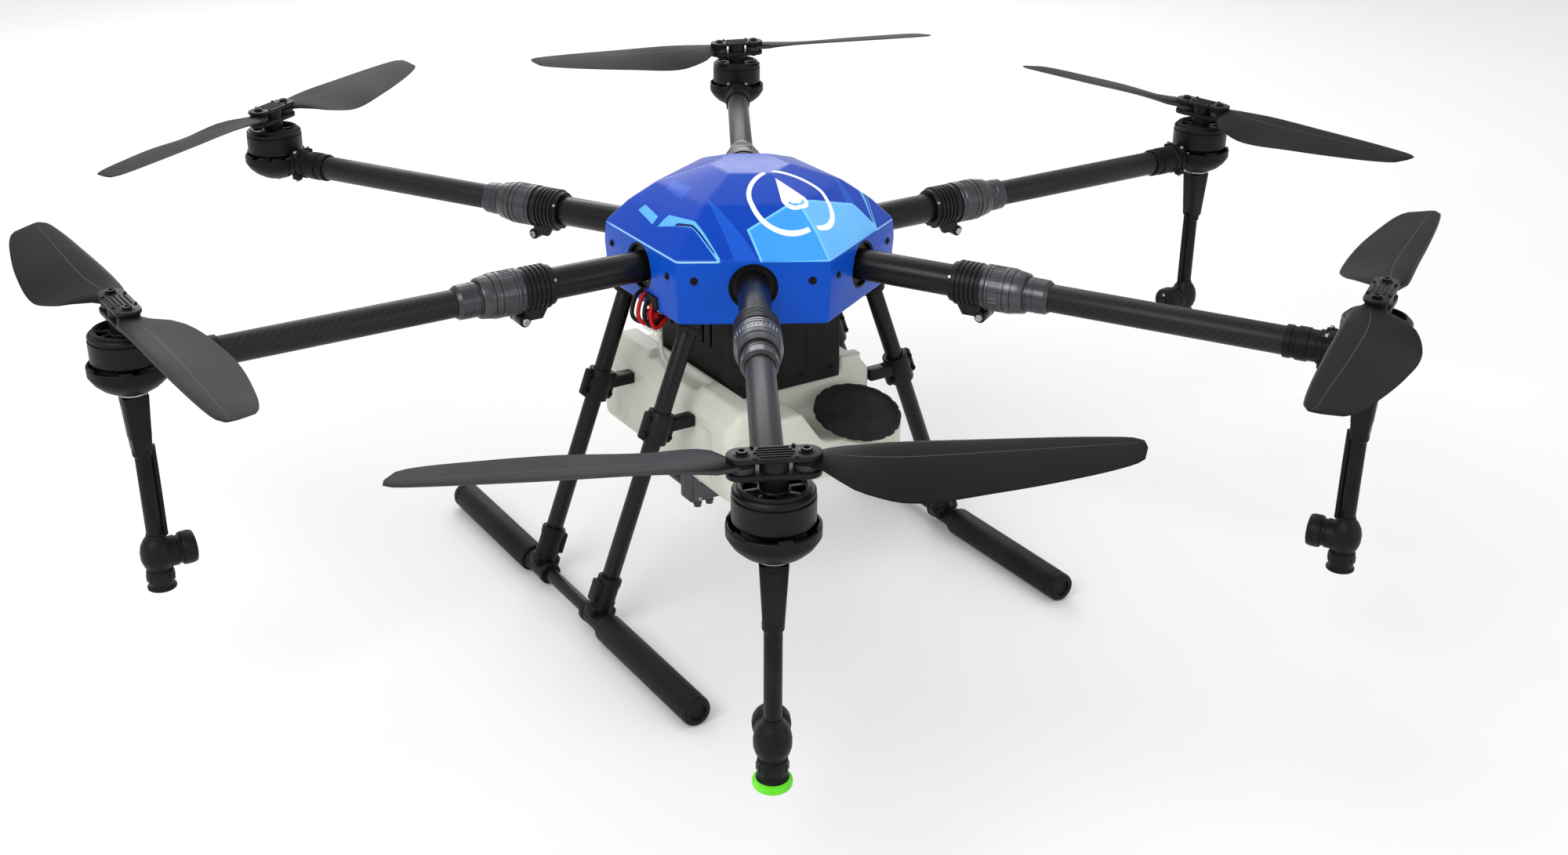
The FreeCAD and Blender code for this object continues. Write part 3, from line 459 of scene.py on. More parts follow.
class Piece:
    """A piece in the making, in millimetres in the frame's own axes."""

    def __init__(self, name, body, finishes, *replaces):
        names = [finishes] if isinstance(finishes, str) else finishes
        self.name = name
        self.body = body
        self.slot = SLOTS[names[0]]
        self.finishes = [finish(each) for each in names]
        self.replaces = replaces
        self.mesh = bmesh.new()
        self.mesh.loops.layers.uv.verify()

    def add(self, part, place=None, finish=0):
        """Sets a part in its place."""
        if place is not None:
            placed(part, place)
        part.loops.layers.uv.verify()
        for side in part.faces:
            side.material_index = finish
            side.smooth = True
        scratch = bpy.data.meshes.new("scratch")
        part.to_mesh(scratch)
        part.free()
        self.mesh.from_mesh(scratch)
        bpy.data.meshes.remove(scratch)
        return self

    def finish(self, crease=32):
        """Makes the object, in metres, riding on its body."""
        bmesh.ops.scale(self.mesh, vec=(MM, MM, MM), verts=self.mesh.verts)
        data = bpy.data.meshes.new(self.name)
        self.mesh.to_mesh(data)
        self.mesh.free()
        for material in self.finishes:
            data.materials.append(material)
        data.set_sharp_from_angle(angle=math.radians(crease))
        made = bpy.data.objects.new(self.name, data)
        bpy.context.scene.collection.objects.link(made)
        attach(made, self.body)
        if self.replaces:
            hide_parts(*self.replaces)
        return made


# --- Surfaces ---------------------------------------------------------------------------------


def tone(code):
    """A colour from its web code, as the shader's linear numbers."""
    parts = [int(code[k : k + 2], 16) / 255 for k in (0, 2, 4)]
    return [p / 12.92 if p <= 0.04045 else ((p + 0.055) / 1.055) ** 2.4 for p in parts]


class Value:
    """A socket's value. Python's operators on it add Math nodes."""

    def __init__(self, surface, socket):
        self.surface = surface
        self.socket = socket

    def maths(self, operation, *values):
        """Result of a Math node on this value and others."""
        return self.surface.node("Math", {"operation": operation}, dict(enumerate(values)))

    def __add__(self, other):
        return self.maths("ADD", self, other)

    __radd__ = __add__

    def __sub__(self, other):
        return self.maths("SUBTRACT", self, other)

    def __rsub__(self, other):
        return self.maths("SUBTRACT", other, self)

    def __mul__(self, other):
        return self.maths("MULTIPLY", self, other)

    __rmul__ = __mul__

    def __truediv__(self, other):
        return self.maths("DIVIDE", self, other)

    def __rtruediv__(self, other):
        return self.maths("DIVIDE", other, self)

    def __pow__(self, other):
        return self.maths("POWER", self, other)

    def __abs__(self):
        return self.maths("ABSOLUTE", self)

    def least(self, other):
        """The lower of two values."""
        return self.maths("MINIMUM", self, other)

    def most(self, other):
        """The higher of two values."""
        return self.maths("MAXIMUM", self, other)

    def wave(self):
        """Sine of the value in radians."""
        return self.maths("SINE", self)

    def whole(self):
        """The value less its fraction."""
        return self.maths("FLOOR", self)

    def inside(self, soft=0.3):
        """1 where the value is above zero, 0 where below, with a soft edge."""
        return self.surface.node("Clamp", {}, {0: self / soft + 0.5, 1: 0, 2: 1})


class Surface:
    """A material in the making."""

    def __init__(self, name, **constants):
        self.material = bpy.data.materials.new(name)
        self.material.use_nodes = True
        self.tree = self.material.node_tree
        self.shader = self.tree.nodes["Principled BSDF"]
        for key, value in constants.items():
            self.shader.inputs[key.replace("_", " ")].default_value = value

    def node(self, kind, settings=None, values=None, out=0):
        """Adds a node: its settings first, then the values or links of its sockets."""
        made = self.tree.nodes.new("ShaderNode" + kind)
        settings = dict(settings or {})
        stops = settings.pop("stops", None)
        for key, value in settings.items():
            setattr(made, key, value)
        if stops:
            ramp = made.color_ramp
            while len(ramp.elements) < len(stops):
                ramp.elements.new(0.5)
            for element, (place, colour) in zip(ramp.elements, stops):
                element.position = place
                element.color = (*colour, 1)
        for key, value in (values or {}).items():
            socket = made.inputs[key]
            if isinstance(value, Value):
                self.tree.links.new(value.socket, socket)
            else:
                socket.default_value = value
        return Value(self, made.outputs[out])

    def here(self):
        """Object coordinates."""
        return self.node("TexCoord", out="Object")

    def along(self):
        """The piece's own UV map."""
        return self.node("TexCoord", out="UV")

    def split(self, vector):
        """The three numbers of a vector."""
        made = self.tree.nodes.new("ShaderNodeSeparateXYZ")
        self.tree.links.new(vector.socket, made.inputs[0])
        return [Value(self, made.outputs[k]) for k in range(3)]

    def noise(self, scale, vector=None, detail=3, roughness=0.5):
        """Cloudy pattern, mostly between 0.3 and 0.7."""
        values = {
            "Vector": vector or self.here(), "Scale": scale, "Detail": detail,
            "Roughness": roughness
        }
        return self.node("TexNoise", {}, values)

    def cells(self, scale, vector=None):
        """Distance to the nearest of many scattered points."""
        return self.node(
            "TexVoronoi", {}, {"Vector": vector or self.here(), "Scale": scale}, "Distance"
        )

    def stretched(self, vector, x, y, z):
        """Pattern coordinates scaled on each axis."""
        return self.node("Mapping", {}, {"Vector": vector, "Scale": (x, y, z)})

    def mix(self, share, first, second):
        """Blend of two colours."""
        values = {0: share}
        for key, colour in ((6, first), (7, second)):
            values[key] = colour if isinstance(colour, Value) else (*colour, 1)
        return self.node("Mix", {"data_type": "RGBA"}, values, 2)

    def set(self, name, value):
        """Links a varying value to the shader."""
        self.tree.links.new(value.socket, self.shader.inputs[name])

    def relief(self, height, depth, strength=1):
        """Surface relief of a depth in metres."""
        values = {"Strength": strength, "Distance": depth, "Height": height}
        self.set("Normal", self.node("Bump", {}, values))

    def patchy(self, dark, light, scale, rough_low, rough_high):
        """Slow changes of colour and roughness, as handling and light dust leave them."""
        cloud = self.noise(scale, detail=5)
        spread = ((cloud - 0.5) * 2.5).inside(1)
        self.set("Base Color", self.mix(spread, dark, light))
        fine = self.noise(scale * 9, detail=4)
        self.set("Roughness", fine * (rough_high - rough_low) + rough_low)


def moulded(name, dark, light, rough_low, rough_high, grain=1400, depth=0.00012, **constants):
    """Moulded plastic or cast metal with a fine even grain."""
    surface = Surface(name, **{"Specular_IOR_Level": 0.14, **constants})
    surface.patchy(tone(dark), tone(light), 26, rough_low, rough_high)
    fine = surface.noise(grain, detail=2)
    surface.relief(fine, depth, 0.6)
    return surface.material


def cover_paint(colours):
    """Gloss blue lacquer with lighter panels, tapered stripes and a plain drop in a ring."""
    surface = Surface("cover_gloss", Coat_Weight=0.05, Coat_Roughness=0.12, Specular_IOR_Level=0.1)
    x, y, z = [part / MM for part in surface.split(surface.here())]
    height = z - ARM_Z
    side = abs(x)
    above_belt = (height - 29).inside(1)

    def shape(points, across):
        """Signed distance into a convex outline given anticlockwise."""
        distance = None
        for (x0, y0), (x1, y1) in zip(points, points[1:] + points[:1]):
            length = math.hypot(x1 - x0, y1 - y0)
            nx, ny = (y0 - y1) / length, (x1 - x0) / length
            inward = across * nx + (y * ny - (x0 * nx + y0 * ny))
            distance = inward if distance is None else distance.least(inward)
        return distance

    deep, lit_band_blue, pale = tone("0236a0"), tone("084cb8"), tone("7fd0ff")
    base = list(colours.cover)
    cloud = surface.noise(7, detail=2)
    # painted light: the upright band below the crease is painted a lighter blue than the top, for
    # the light on its upright faces
    lit_band = (30 - height).inside(6)
    colour = surface.mix(cloud, deep, base)
    colour = surface.mix(lit_band * 0.75, colour, lit_band_blue)
    # painted highlight: a lighter blue streak down each shoulder of the top, for the light along
    # the fold
    shoulder_highlight = shape([(66, -126), (90, -112), (86, -70), (84, -38)], side).inside(0.8)
    colour = surface.mix(shoulder_highlight * above_belt * 0.45, colour, tone("2468dc"))
    rear = shape([(78, -5), (96, -12), (94, 26), (80, 34)], side).inside(0.6)
    colour = surface.mix(rear * above_belt * 0.3, colour, tone("3a74e0"))
    # The cyan panels either side of the front ridge are print; the left one is painted darker and
    # the right one lighter, as painted shade and painted light across the ridge.
    left = shape([(0, -165), (0, -99), (-63, -99), (-64, -129)], x)
    right = shape([(0, -99), (0, -165), (106, -104.5), (82, -86)], x)
    colour = surface.mix(
        left.inside() * above_belt, colour, surface.mix(cloud, tone("2a86e0"), tone("4aa8f0"))
    )
    colour = surface.mix(
        right.inside() * above_belt, colour, surface.mix(cloud, tone("4ca4f2"), tone("7cc6fa"))
    )
    rim = (1.1 - abs(left.most(right))).inside(0.4)
    colour = surface.mix(rim * above_belt * 0.8, colour, pale)
    stripe = shape([(104, -107), (127, -13), (114, -16), (101.5, -104)], side)
    core = shape([(104.6, -99), (120.5, -38), (116.5, -40), (104, -96)], side)
    tail = shape([(127.5, -2), (123, 38), (116, 34), (120, -2)], side)
    fade = (y + 110) / 150
    tint = surface.mix(fade.inside(1) * 0.6, pale, tone("2f8ce8"))
    colour = surface.mix(stripe.inside(0.5) * above_belt, colour, tint)
    colour = surface.mix(core.inside(0.5) * above_belt, colour, tone("04145e"))
    colour = surface.mix(tail.inside(0.5) * above_belt * 0.9, colour, tone("5fb4f6"))
    # painted highlight: a pale line along the crease at the top of the upright band, for the light
    # caught by the crease
    crease = (0.9 - abs(height - 29)).inside(0.5) * (y + 105).inside(2) * (75 - y).inside(20)
    colour = surface.mix(crease * 0.85, colour, tone("9fd4ff"))

    from_centre = (x * x + (y + 86) * (y + 86)) ** 0.5
    ring = 2.6 - abs(from_centre - bpy.context.scene.sprayer_sizes.mark_radius / MM)
    broken = abs(x) - 5
    bead = (x * x + (y + 94) * (y + 94)) ** 0.5
    bulb = 15 - bead
    point = shape([(-13.9, -88.4), (13.9, -88.4), (0, -54)], x)
    hollow = (abs(bead - 9) - 1.4).most(y + 96)
    drop = bulb.most(point).least(hollow)
    mark = drop.most(ring.least(broken))
    colour = surface.mix(mark.inside(0.4) * above_belt, colour, list(colours.mark))
    surface.set("Base Color", colour)
    haze = surface.noise(60, detail=6, roughness=0.6)
    surface.set("Roughness", haze * 0.16 + 0.2)
    peel = surface.noise(420, detail=1)
    surface.relief(peel, 0.00006, 0.35)
    return surface.material


def woven_tube(name, dark, light, tow=0.22, rough=0.34):
    """Rolled carbon tube: a fine twill under satin lacquer, from the piece's UV map."""
    surface = Surface(name, Coat_Weight=0.06, Coat_Roughness=0.25, Specular_IOR_Level=0.2)
    around, along, _ = surface.split(surface.along())
    a, b = around / tow, along / tow
    turn_a, turn_b = a.whole(), b.whole()
    step = (turn_a + turn_b) / 4
    phase = step - step.whole()
    warp = (0.45 - phase).inside(0.05)
    strand_a = abs(((a - turn_a) * math.pi).wave())
    strand_b = abs(((b - turn_b) * math.pi).wave())
    height = strand_a * warp + strand_b * (1 - warp)
    cloud = surface.noise(18, detail=4)
    colour = surface.mix(warp * 0.55 + cloud * 0.45, tone(dark), tone(light))
    surface.set("Base Color", colour)
    fine = surface.noise(260, detail=4)
    surface.set("Roughness", fine * 0.14 + warp * 0.05 + (rough - 0.08))
    surface.relief(height, 0.00003, 0.35)
    return surface.material


def flat_weave(name, dark, light, pitch=0.0022):
    """Cut carbon plate: a twill seen flat, from object coordinates."""
    surface = Surface(name, Coat_Weight=0.15, Coat_Roughness=0.2, Specular_IOR_Level=0.25)
    x, y, _ = surface.split(surface.here())
    a, b = x / pitch, y / pitch
    step = (a.whole() + b.whole()) / 4
    warp = (0.45 - (step - step.whole())).inside(0.05)
    cloud = surface.noise(20)
    surface.set("Base Color", surface.mix(warp * 0.6 + cloud * 0.3, tone(dark), tone(light)))
    surface.set("Roughness", warp * 0.1 + cloud * 0.2 + 0.25)
    surface.relief(warp, 0.00004, 0.4)
    return surface.material


def turned_metal(name, dark, light, metallic, rough):
    """Anodised metal with fine lathe lines round it, from the piece's UV map."""
    surface = Surface(name, Specular_IOR_Level=0.3)
    lines = surface.noise(
        9, surface.stretched(surface.along(), 0.15, 14, 1), detail=5, roughness=0.7
    )
    cloud = surface.noise(30, detail=4)
    surface.set("Base Color", surface.mix(lines * 0.6 + cloud * 0.5, tone(dark), tone(light)))
    surface.set("Metallic", cloud * 0.2 + (metallic - 0.1))
    surface.set("Roughness", lines * 0.18 + (rough - 0.09))
    surface.relief(lines, 0.00004, 0.5)
    return surface.material


def blade_skin():
    """Fibre-filled nylon: satin black with faint strands along the span and worn leading edge."""
    surface = Surface("blade_nylon", Specular_IOR_Level=0.06)
    span, chord, _ = surface.split(surface.along())
    strands = surface.noise(
        5, surface.stretched(surface.along(), 0.5, 60, 1), detail=5, roughness=0.7
    )
    cloud = surface.noise(9, detail=4)
    colour = surface.mix(strands * 0.5 + cloud * 0.6, tone("0a0a0b"), tone("19191b"))
    line = (0.006 - abs(chord - 0.3)).inside(0.004) * (span - 5).inside(2)
    worn = (0.03 - chord).inside(0.03) * (strands * 1.6).inside(1)
    colour = surface.mix(line * 0.35 + worn * 0.25, colour, tone("6b6b6e"))
    surface.set("Base Color", colour)
    surface.set("Roughness", cloud * 0.2 + strands * 0.12 + 0.3)
    surface.relief(strands * 0.6 + line * -0.8, 0.00012, 0.5)
    return surface.material


def tank_skin(colours):
    """Blow-moulded natural polyethylene: milky, faintly mottled, with a soft skin."""
    surface = Surface(
        "tank_natural",
        Subsurface_Weight=0.25,
        Subsurface_Radius=(0.006, 0.006, 0.0045),
        Subsurface_Scale=1,
        Specular_IOR_Level=0.45,
        IOR=1.5,
    )
    height = surface.split(surface.here())[2]
    cloud = surface.noise(11, detail=5)
    # painted shade: the tank is painted a greyer tone towards its bottom, for the shade on its
    # lower part
    low = (0.2 - height).inside(0.14)
    base = list(colours.tank)
    colour = surface.mix(cloud, tone("b9baae"), base)
    colour = surface.mix(low * 0.3, colour, tone("a9aa9e"))
    specks = surface.noise(240, detail=2)
    colour = surface.mix((specks - 0.66).inside(0.06) * 0.12, colour, tone("8c8d84"))
    surface.set("Base Color", colour)
    fine = surface.noise(320, detail=3)
    surface.set("Roughness", fine * 0.2 + cloud * 0.1 + 0.3)
    surface.relief(fine + cloud, 0.0003, 0.35)
    return surface.material


def foam_skin():
    """Closed-cell foam sleeve with a skin of tiny cells."""
    surface = Surface("sleeve_foam", Specular_IOR_Level=0.12)
    surface.patchy(tone("0f0f10"), tone("1a1a1c"), 18, 0.42, 0.58)
    cells = surface.cells(900)
    surface.relief(cells, 0.00016, 0.35)
    return surface.material


# the record's slot for each finish that leads a piece
SLOTS = {
    "cover": "cover_blue", "inner_tube": "carbon", "outer_tube": "carbon", "leg_tube": "carbon",
    "collar": "anodised_black", "socket": "anodised_black", "barrel": "anodised_black",
    "cast": "anodised_black", "bell": "anodised_black", "clamp": "anodised_black",
    "dark": "black_plastic", "black_plastic": "black_plastic", "bay": "black_plastic",
    "cap": "black_plastic", "blade": "blade_black", "battery": "battery_black",
    "tank": "tank_plastic", "pump": "pump_grey", "foam": "foam_black", "steel": "screw_steel",
    "black_bolt": "screw_steel", "red": "wire_red", "white": "hose_pale", "hose": "hose_pale",
    "green": "nozzle_green",
}
FINISHES = {}


def finish(name):
    """A finish by name, made once."""
    if name not in FINISHES:
        colours = bpy.context.scene.sprayer_colours
        makers = {
            "cover": lambda: cover_paint(colours),
            "inner_tube": lambda: woven_tube("inner_tube_twill", "070708", "121214", rough=0.3),
            "outer_tube": lambda: woven_tube("outer_tube_twill", "0e0e0f", "1d1d1f", rough=0.42),
            "leg_tube": lambda: woven_tube("leg_tube_twill", "09090a", "151517", rough=0.36),
            "plate": lambda: flat_weave("hub_plate_twill", "09090a", "19191b"),
            "collar": lambda: turned_metal("collar_anodised", "303032", "646468", 0.92, 0.3),
            "socket": lambda: turned_metal("socket_anodised", "101012", "2c2c30", 0.7, 0.38),
            "barrel": lambda: turned_metal("barrel_anodised", "29292b", "58585d", 0.9, 0.3),
            "cast": lambda: moulded("motor_cast", "060607", "111113", 0.38, 0.55, 1100, 0.0002),
            "bell": lambda: turned_metal("bell_anodised", "060607", "141416", 0.4, 0.42),
            "dark": lambda: moulded("winding_dark", "030303", "080808", 0.5, 0.7),
            "copper": lambda: moulded(
                "winding_copper", "3a1c0c", "6a3418", 0.35, 0.5, Metallic=0.8
            ),
            "clamp": lambda: moulded("clamp_satin", "0c0c0d", "1e1e20", 0.3, 0.46, 1600, 0.0001),
            "blade": blade_skin,
            "black_plastic": lambda: moulded("fitting_nylon", "0a0a0b", "171719", 0.34, 0.52),
            "bay": lambda: moulded("bay_matt", "121212", "1e1e1d", 0.5, 0.68, 900, 0.00018),
            "battery": lambda: moulded("battery_wrap", "0d0d0f", "18181b", 0.25, 0.4, 500, 0.0001),
            "tank": lambda: tank_skin(colours),
            "cap": lambda: moulded("cap_rubbery", "131315", "222226", 0.55, 0.75, 700, 0.0005),
            "pump": lambda: moulded("pump_grey", "3a3b3d", "57585b", 0.35, 0.5),
            "foam": foam_skin,
            "steel": lambda: moulded(
                "bolt_steel", "8d8d90", "c9c9cc", 0.2, 0.38, 900, 0.00005, Metallic=0.95
            ),
            "black_bolt": lambda: moulded(
                "bolt_black", "101011", "262628", 0.28, 0.42, 900, 0.00005, Metallic=0.7
            ),
            "red": lambda: moulded("lead_red", "8e0f12", "c01c1c", 0.3, 0.45),
            "white": lambda: moulded("plug_white", "cfcfca", "efefea", 0.35, 0.5),
            "hose": lambda: moulded("hose_pale", "a7a89c", "c9cabf", 0.25, 0.4),
            "green": lambda: moulded("nozzle_green", "4fc51c", "7cf03c", 0.25, 0.4),
        }
        FINISHES[name] = makers[name]()
    return FINISHES[name]


def carry(node, name):
    """Gives a node of the frame its finish."""
    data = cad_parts[node].data
    data.materials.clear()
    data.materials.append(finish(name))


# --- Cover ------------------------------------------------------------------------------------


def hexagon_stack(rings):
    """Closed solid between six-sided rings with a flat side facing each arm."""
    part = bmesh.new()
    made = []
    for corner, z in rings:
        ring = ring_of(part, 6, corner)
        bmesh.ops.transform(part, matrix=shift(z=z), verts=ring)
        made.append(ring)
    return lofted(made, part)


def make_cover():
    """Faceted cover with a hole for each arm, and its side screws."""
    sizes = bpy.context.scene.sprayer_sizes
    outer = soften(hexagon_stack(COVER_RINGS), sizes.cover_round / MM, 3, 5)
    wall = COVER_WALL / math.cos(math.radians(30))
    inner = hexagon_stack([(corner - wall, z - COVER_WALL) for corner, z in COVER_RINGS])
    tools = [inner]
    for arm in ARMS:
        hole = rod(COVER_HOLE_R, COVER_HOLE_REACH, steps=56)
        tools.append(placed(hole, turn(heading(arm)) @ shift(x=COVER_HOLE_REACH) @ ALONG_X))
    shell = carve(outer, tools)

    def outer_lip(edge):
        return all(v.co.xy.length > 138 or v.co.z < -43 for v in edge.verts)

    soften(shell, 0.7, 2, 50, outer_lip)
    cover = Piece("cover", "frame", "cover", "cover_shell")
    cover.add(shell, shift(z=ARM_Z)).finish(14)

    lip = Piece("arm_hole_grommets", "frame", "black_plastic")
    screws = Piece("cover_screw_heads", "frame", "black_bolt", "cover_screws")
    for arm in ARMS:
        place = on_arm(arm)
        outline = [
            (17.8, 0), (26.8, 0), (26.8, 5.4), (26.2, 6), (25.2, 6), (24.6, 5.4), (24.6, 1.6),
            (17.8, 1.6),
        ]
        lip.add(turned(outline, 56), place @ shift(x=COVER_APOTHEM - 7.5) @ ALONG_X)
        for along in (-COVER_SCREW_SIDE, COVER_SCREW_SIDE):
            spot = place @ shift(COVER_APOTHEM - 0.2, along, COVER_SCREW_Z) @ ALONG_X
            screws.add(bolt(2.75, 2), spot)
            screws.add(turned(((2.9, -0.2), (4.6, -0.2), (4.4, 0.4), (2.9, 0.5)), 24), spot)
    lip.finish()
    screws.finish()


# --- Hub --------------------------------------------------------------------------------------


def make_hub():
    """Plates, root clamps, brackets, electronics and the leads beside the front-left leg."""
    carry("hub_plates", "plate")
    carry("arm_root_clamps", "clamp")
    carry("cover_brackets", "black_plastic")
    deck = PLATE_HIGH.z
    under = PLATE_LOW.z
    boxes = Piece("flight_boxes", "frame", "black_plastic", "flight_electronics")
    boxes.add(block(62, 42, 17, 2.5, 3), shift(z=deck + 8.5))
    for along in (-22, 22):
        boxes.add(block(6, 34, 2, 0.6), shift(along, 0, deck + 17))
    boxes.add(
        turned(((0, 0), (24, 0), (24, 9), (22.5, 12.5), (17, 14), (0, 14)), 48), shift(0, 72, deck)
    )
    boxes.add(rod(45, 6, 0.8), shift(z=under + 2))
    for corner in range(6):
        spot = turn(60 * corner + 30)
        boxes.add(pipe(5.0, 2.0, deck - under - 4.0, 0.4, 20), spot @ shift(x=134.0, z=under + 2.0))
    boxes.finish()
    bolts = Piece("hub_bolts", "frame", "steel")
    for arm in ARMS:
        for x in HUB_BOLT_REACHES:
            for y in (-HUB_BOLT_SIDE, HUB_BOLT_SIDE):
                spot = turn(heading(arm)) @ shift(x, y, 0)
                bolts.add(bolt(2.75, 2.8), shift(z=deck) @ spot)
                bolts.add(bolt(2.75, 2.8), shift(z=under) @ spot @ DOWN)
    bolts.finish()

    red = Piece("battery_leads_red", "frame", "red")
    black = Piece("battery_leads_black", "frame", "black_plastic")
    plugs = Piece("lead_plugs", "frame", "white")
    root = Vector((-120, -15, under - 3))
    for k in range(4):
        fan = Vector((-4 * k, 7 * k - 4, 0))
        run = [
            root + fan * 0.5,
            root + fan + Vector((-14, -4, -1)),
            root + fan + Vector((-25, -8, -13 - k)),
            root + fan + Vector((-30, -14, -30)),
            root + fan * 0.6 + Vector((-22, -18, -42 + 2 * k)),
            root + fan * 0.4 + Vector((-6, -12, -30)),
        ]
        (red if k % 2 == 0 else black).add(lead(run, 2.4))
        plugs.add(block(7, 6, 5, 0.8), Matrix.Translation(run[4] + Vector((0, 0, -2.5))))
    red.add(block(12, 16, 9, 1.5), Matrix.Translation(root + Vector((-22, -6, -26))))
    black.add(block(34, 26, 16, 1.5), Matrix.Translation(root + Vector((-8, -10, -9))))
    black.add(block(24, 20, 20, 1.5), Matrix.Translation(root + Vector((12, -36, -12))))
    for piece in (red, black, plugs):
        piece.finish()

    hoses = Piece("breather_hose", "frame", "hose")
    runs = (
        (2.2, (-112, -8, 374), (-126, -14, 352), (-129, -18, 322), (-128, -18, 292),
         (-106, -18, 262)),
        (2, (-116, -34, 366), (-124, -48, 355), (-110, -56, 350), (-92, -66, 349), (-70, -78, 345),
         (-56, -84, 356)),
    )
    for radius, *points in runs:
        hoses.add(lead(points, radius))
    hoses.finish()


# --- Arms -------------------------------------------------------------------------------------


def fold_ear(root, face, y0, y1):
    """Hinge ear under the arm axis, from a root on the arm down to the fold pin."""
    reach = FOLD_EAR_R if root < face else -FOLD_EAR_R
    thick = y1 - y0
    eye = pipe(FOLD_EAR_R, 2.6, thick, 0.5, 32)
    placed(eye, shift(SPLIT_X, y0, -FOLD_PIN_DROP) @ ALONG_Y)
    web = block(abs(root - face), thick, FOLD_PIN_DROP - FOLD_WEB_DROP)
    for v in web.verts:
        if v.co.z < 0 and (v.co.x < 0) == (root < face):
            v.co.x += reach * 1.6
    soften(web, 0.6, 2)
    placed(web, shift((root + face) / 2, (y0 + y1) / 2, -(FOLD_PIN_DROP + FOLD_WEB_DROP) / 2))
    return joined(eye, web)


def make_inner_arms():
    """Inner tubes, ribbed fold sockets with their forks, and the fold pins."""
    tubes = Piece("arm_tubes", "frame", "inner_tube", "inner_arm_tubes")
    sockets = Piece("fold_sockets", "frame", "socket", "inner_fold_sockets")
    pins = Piece("fold_pin_bolts", "frame", "steel", "fold_pins")
    start = SOCKET_START
    end = SPLIT_X - SPLIT_GAP
    for arm in ARMS:
        place = on_arm(arm)
        tubes.add(
            pipe(17.5, 15.5, INNER_TUBE_END - TUBE_ROOT, 0.3, 64),
            place @ shift(x=TUBE_ROOT) @ ALONG_X
        )
        length = end - start
        outline = [(17.6, 0), (21.4, 0), (22, 0.6), (22, 3.6), (23, 4.4)]
        for k in range(5):
            x = 6.5 + 5.5 * k
            outline += [(23, x - 0.6), (24.5, x), (24.5, x + 2.4), (23, x + 3)]
        outline += [(23.3, length - 1), (23.3, length), (12, length), (12, 22), (17.6, 22)]
        sockets.add(turned(outline, 64), place @ shift(x=start) @ ALONG_X)
        for side in (-1, 1):
            inner, outer = (8, 14) if side > 0 else (-14, -8)
            sockets.add(fold_ear(start + 6, end, inner, outer), place)
        for k in range(3):
            grip = place @ shift(x=start + 2) @ turn(120 * k + 60, "X") @ shift(z=21.6)
            pins.add(bolt(1.7, 1.2, 16), grip)
        reach = 15
        pins.add(
            rod(2.5, 2 * reach, 0.3, 24), place @ shift(SPLIT_X, -reach, -FOLD_PIN_DROP) @ ALONG_Y
        )
        pins.add(bolt(4.2, 3.0), place @ shift(SPLIT_X, 14.0, -FOLD_PIN_DROP) @ ALONG_Y)
        pins.add(nut(4.4, 2.8), place @ shift(SPLIT_X, -14.0, -FOLD_PIN_DROP) @ turn(90, "X"))
    tubes.finish()
    sockets.finish()
    pins.finish()


def make_outer_arms():
    """Fold fitting, barrel and outer tube of each arm."""
    face = SPLIT_X + SPLIT_GAP
    tube_start = BARREL_END - OUTER_TUBE_SEAT
    tube_length = MOTOR_X - BASE_R - 0.5 - tube_start
    for arm in ARMS:
        place = on_arm(arm)
        body = "arm_" + arm
        fitting = Piece("fold_barrel_" + arm, body, "barrel")
        length = BARREL_END - face
        outline = [
            (12, 0), (24.4, 0), (25, 0.6), (25, 4.9), (24.4, BARREL_FLANGE),
            (BARREL_R, BARREL_FLANGE),
            (BARREL_R, 48), (18.4, 48.6), (18.4, 50.4), (BARREL_R, 51), (BARREL_R, 56),
            (18.4, 56.6), (18.4, 58.4), (BARREL_R, 59), (18.6, length - 4), (16.2, length - 0.6),
            (15.6, length), (15.1, length - 0.4), (15.1, 9.5), (12, 9.5),
        ]
        fitting.add(turned(outline, 64), place @ shift(x=face) @ ALONG_X)
        fitting.add(fold_ear(face + BARREL_FLANGE + 1, face, -7.7, 7.7), place)
        fitting.finish()
        tube = Piece("arm_boom_" + arm, body, "outer_tube", "outer_arm_" + arm)
        tube.add(
            pipe(OUTER_TUBE_R, 13.5, tube_length, 0.3, 64), place @ shift(x=tube_start) @ ALONG_X
        )
        tube.finish()


def make_collars():
    """Threaded collar of each arm, with grip flutes and two grooves."""
    for arm in ARMS:
        collar = Piece("lock_ring_" + arm, "collar_" + arm, "collar", "lock_collar_" + arm)
        outline = [
            (19.3, 0.3), (24.3, 0), (25, 0.8), (25, 3.6), (24.2, 4), (24.2, 16.4), (25, 16.8),
            (25, 20.6), (24, 21), (24, 22.8), (25, 23.2), (25, 25), (24.2, 28.6),
            (23, 29), (23, 30.8), (23.6, 31.2), (22, 41.2), (21.4, 42), (20, 42), (19.3, 41.4),
        ]
        place = on_arm(arm) @ shift(x=COLLAR_START) @ ALONG_X
        collar.add(turned(outline, 72), place)
        for k in range(36):
            flute = block(1.1, 1.6, 11.4, 0.4, 1)
            collar.add(flute, place @ turn(10 * k) @ shift(x=24.3, z=10.2))
        collar.finish()


# --- Motors -----------------------------------------------------------------------------------


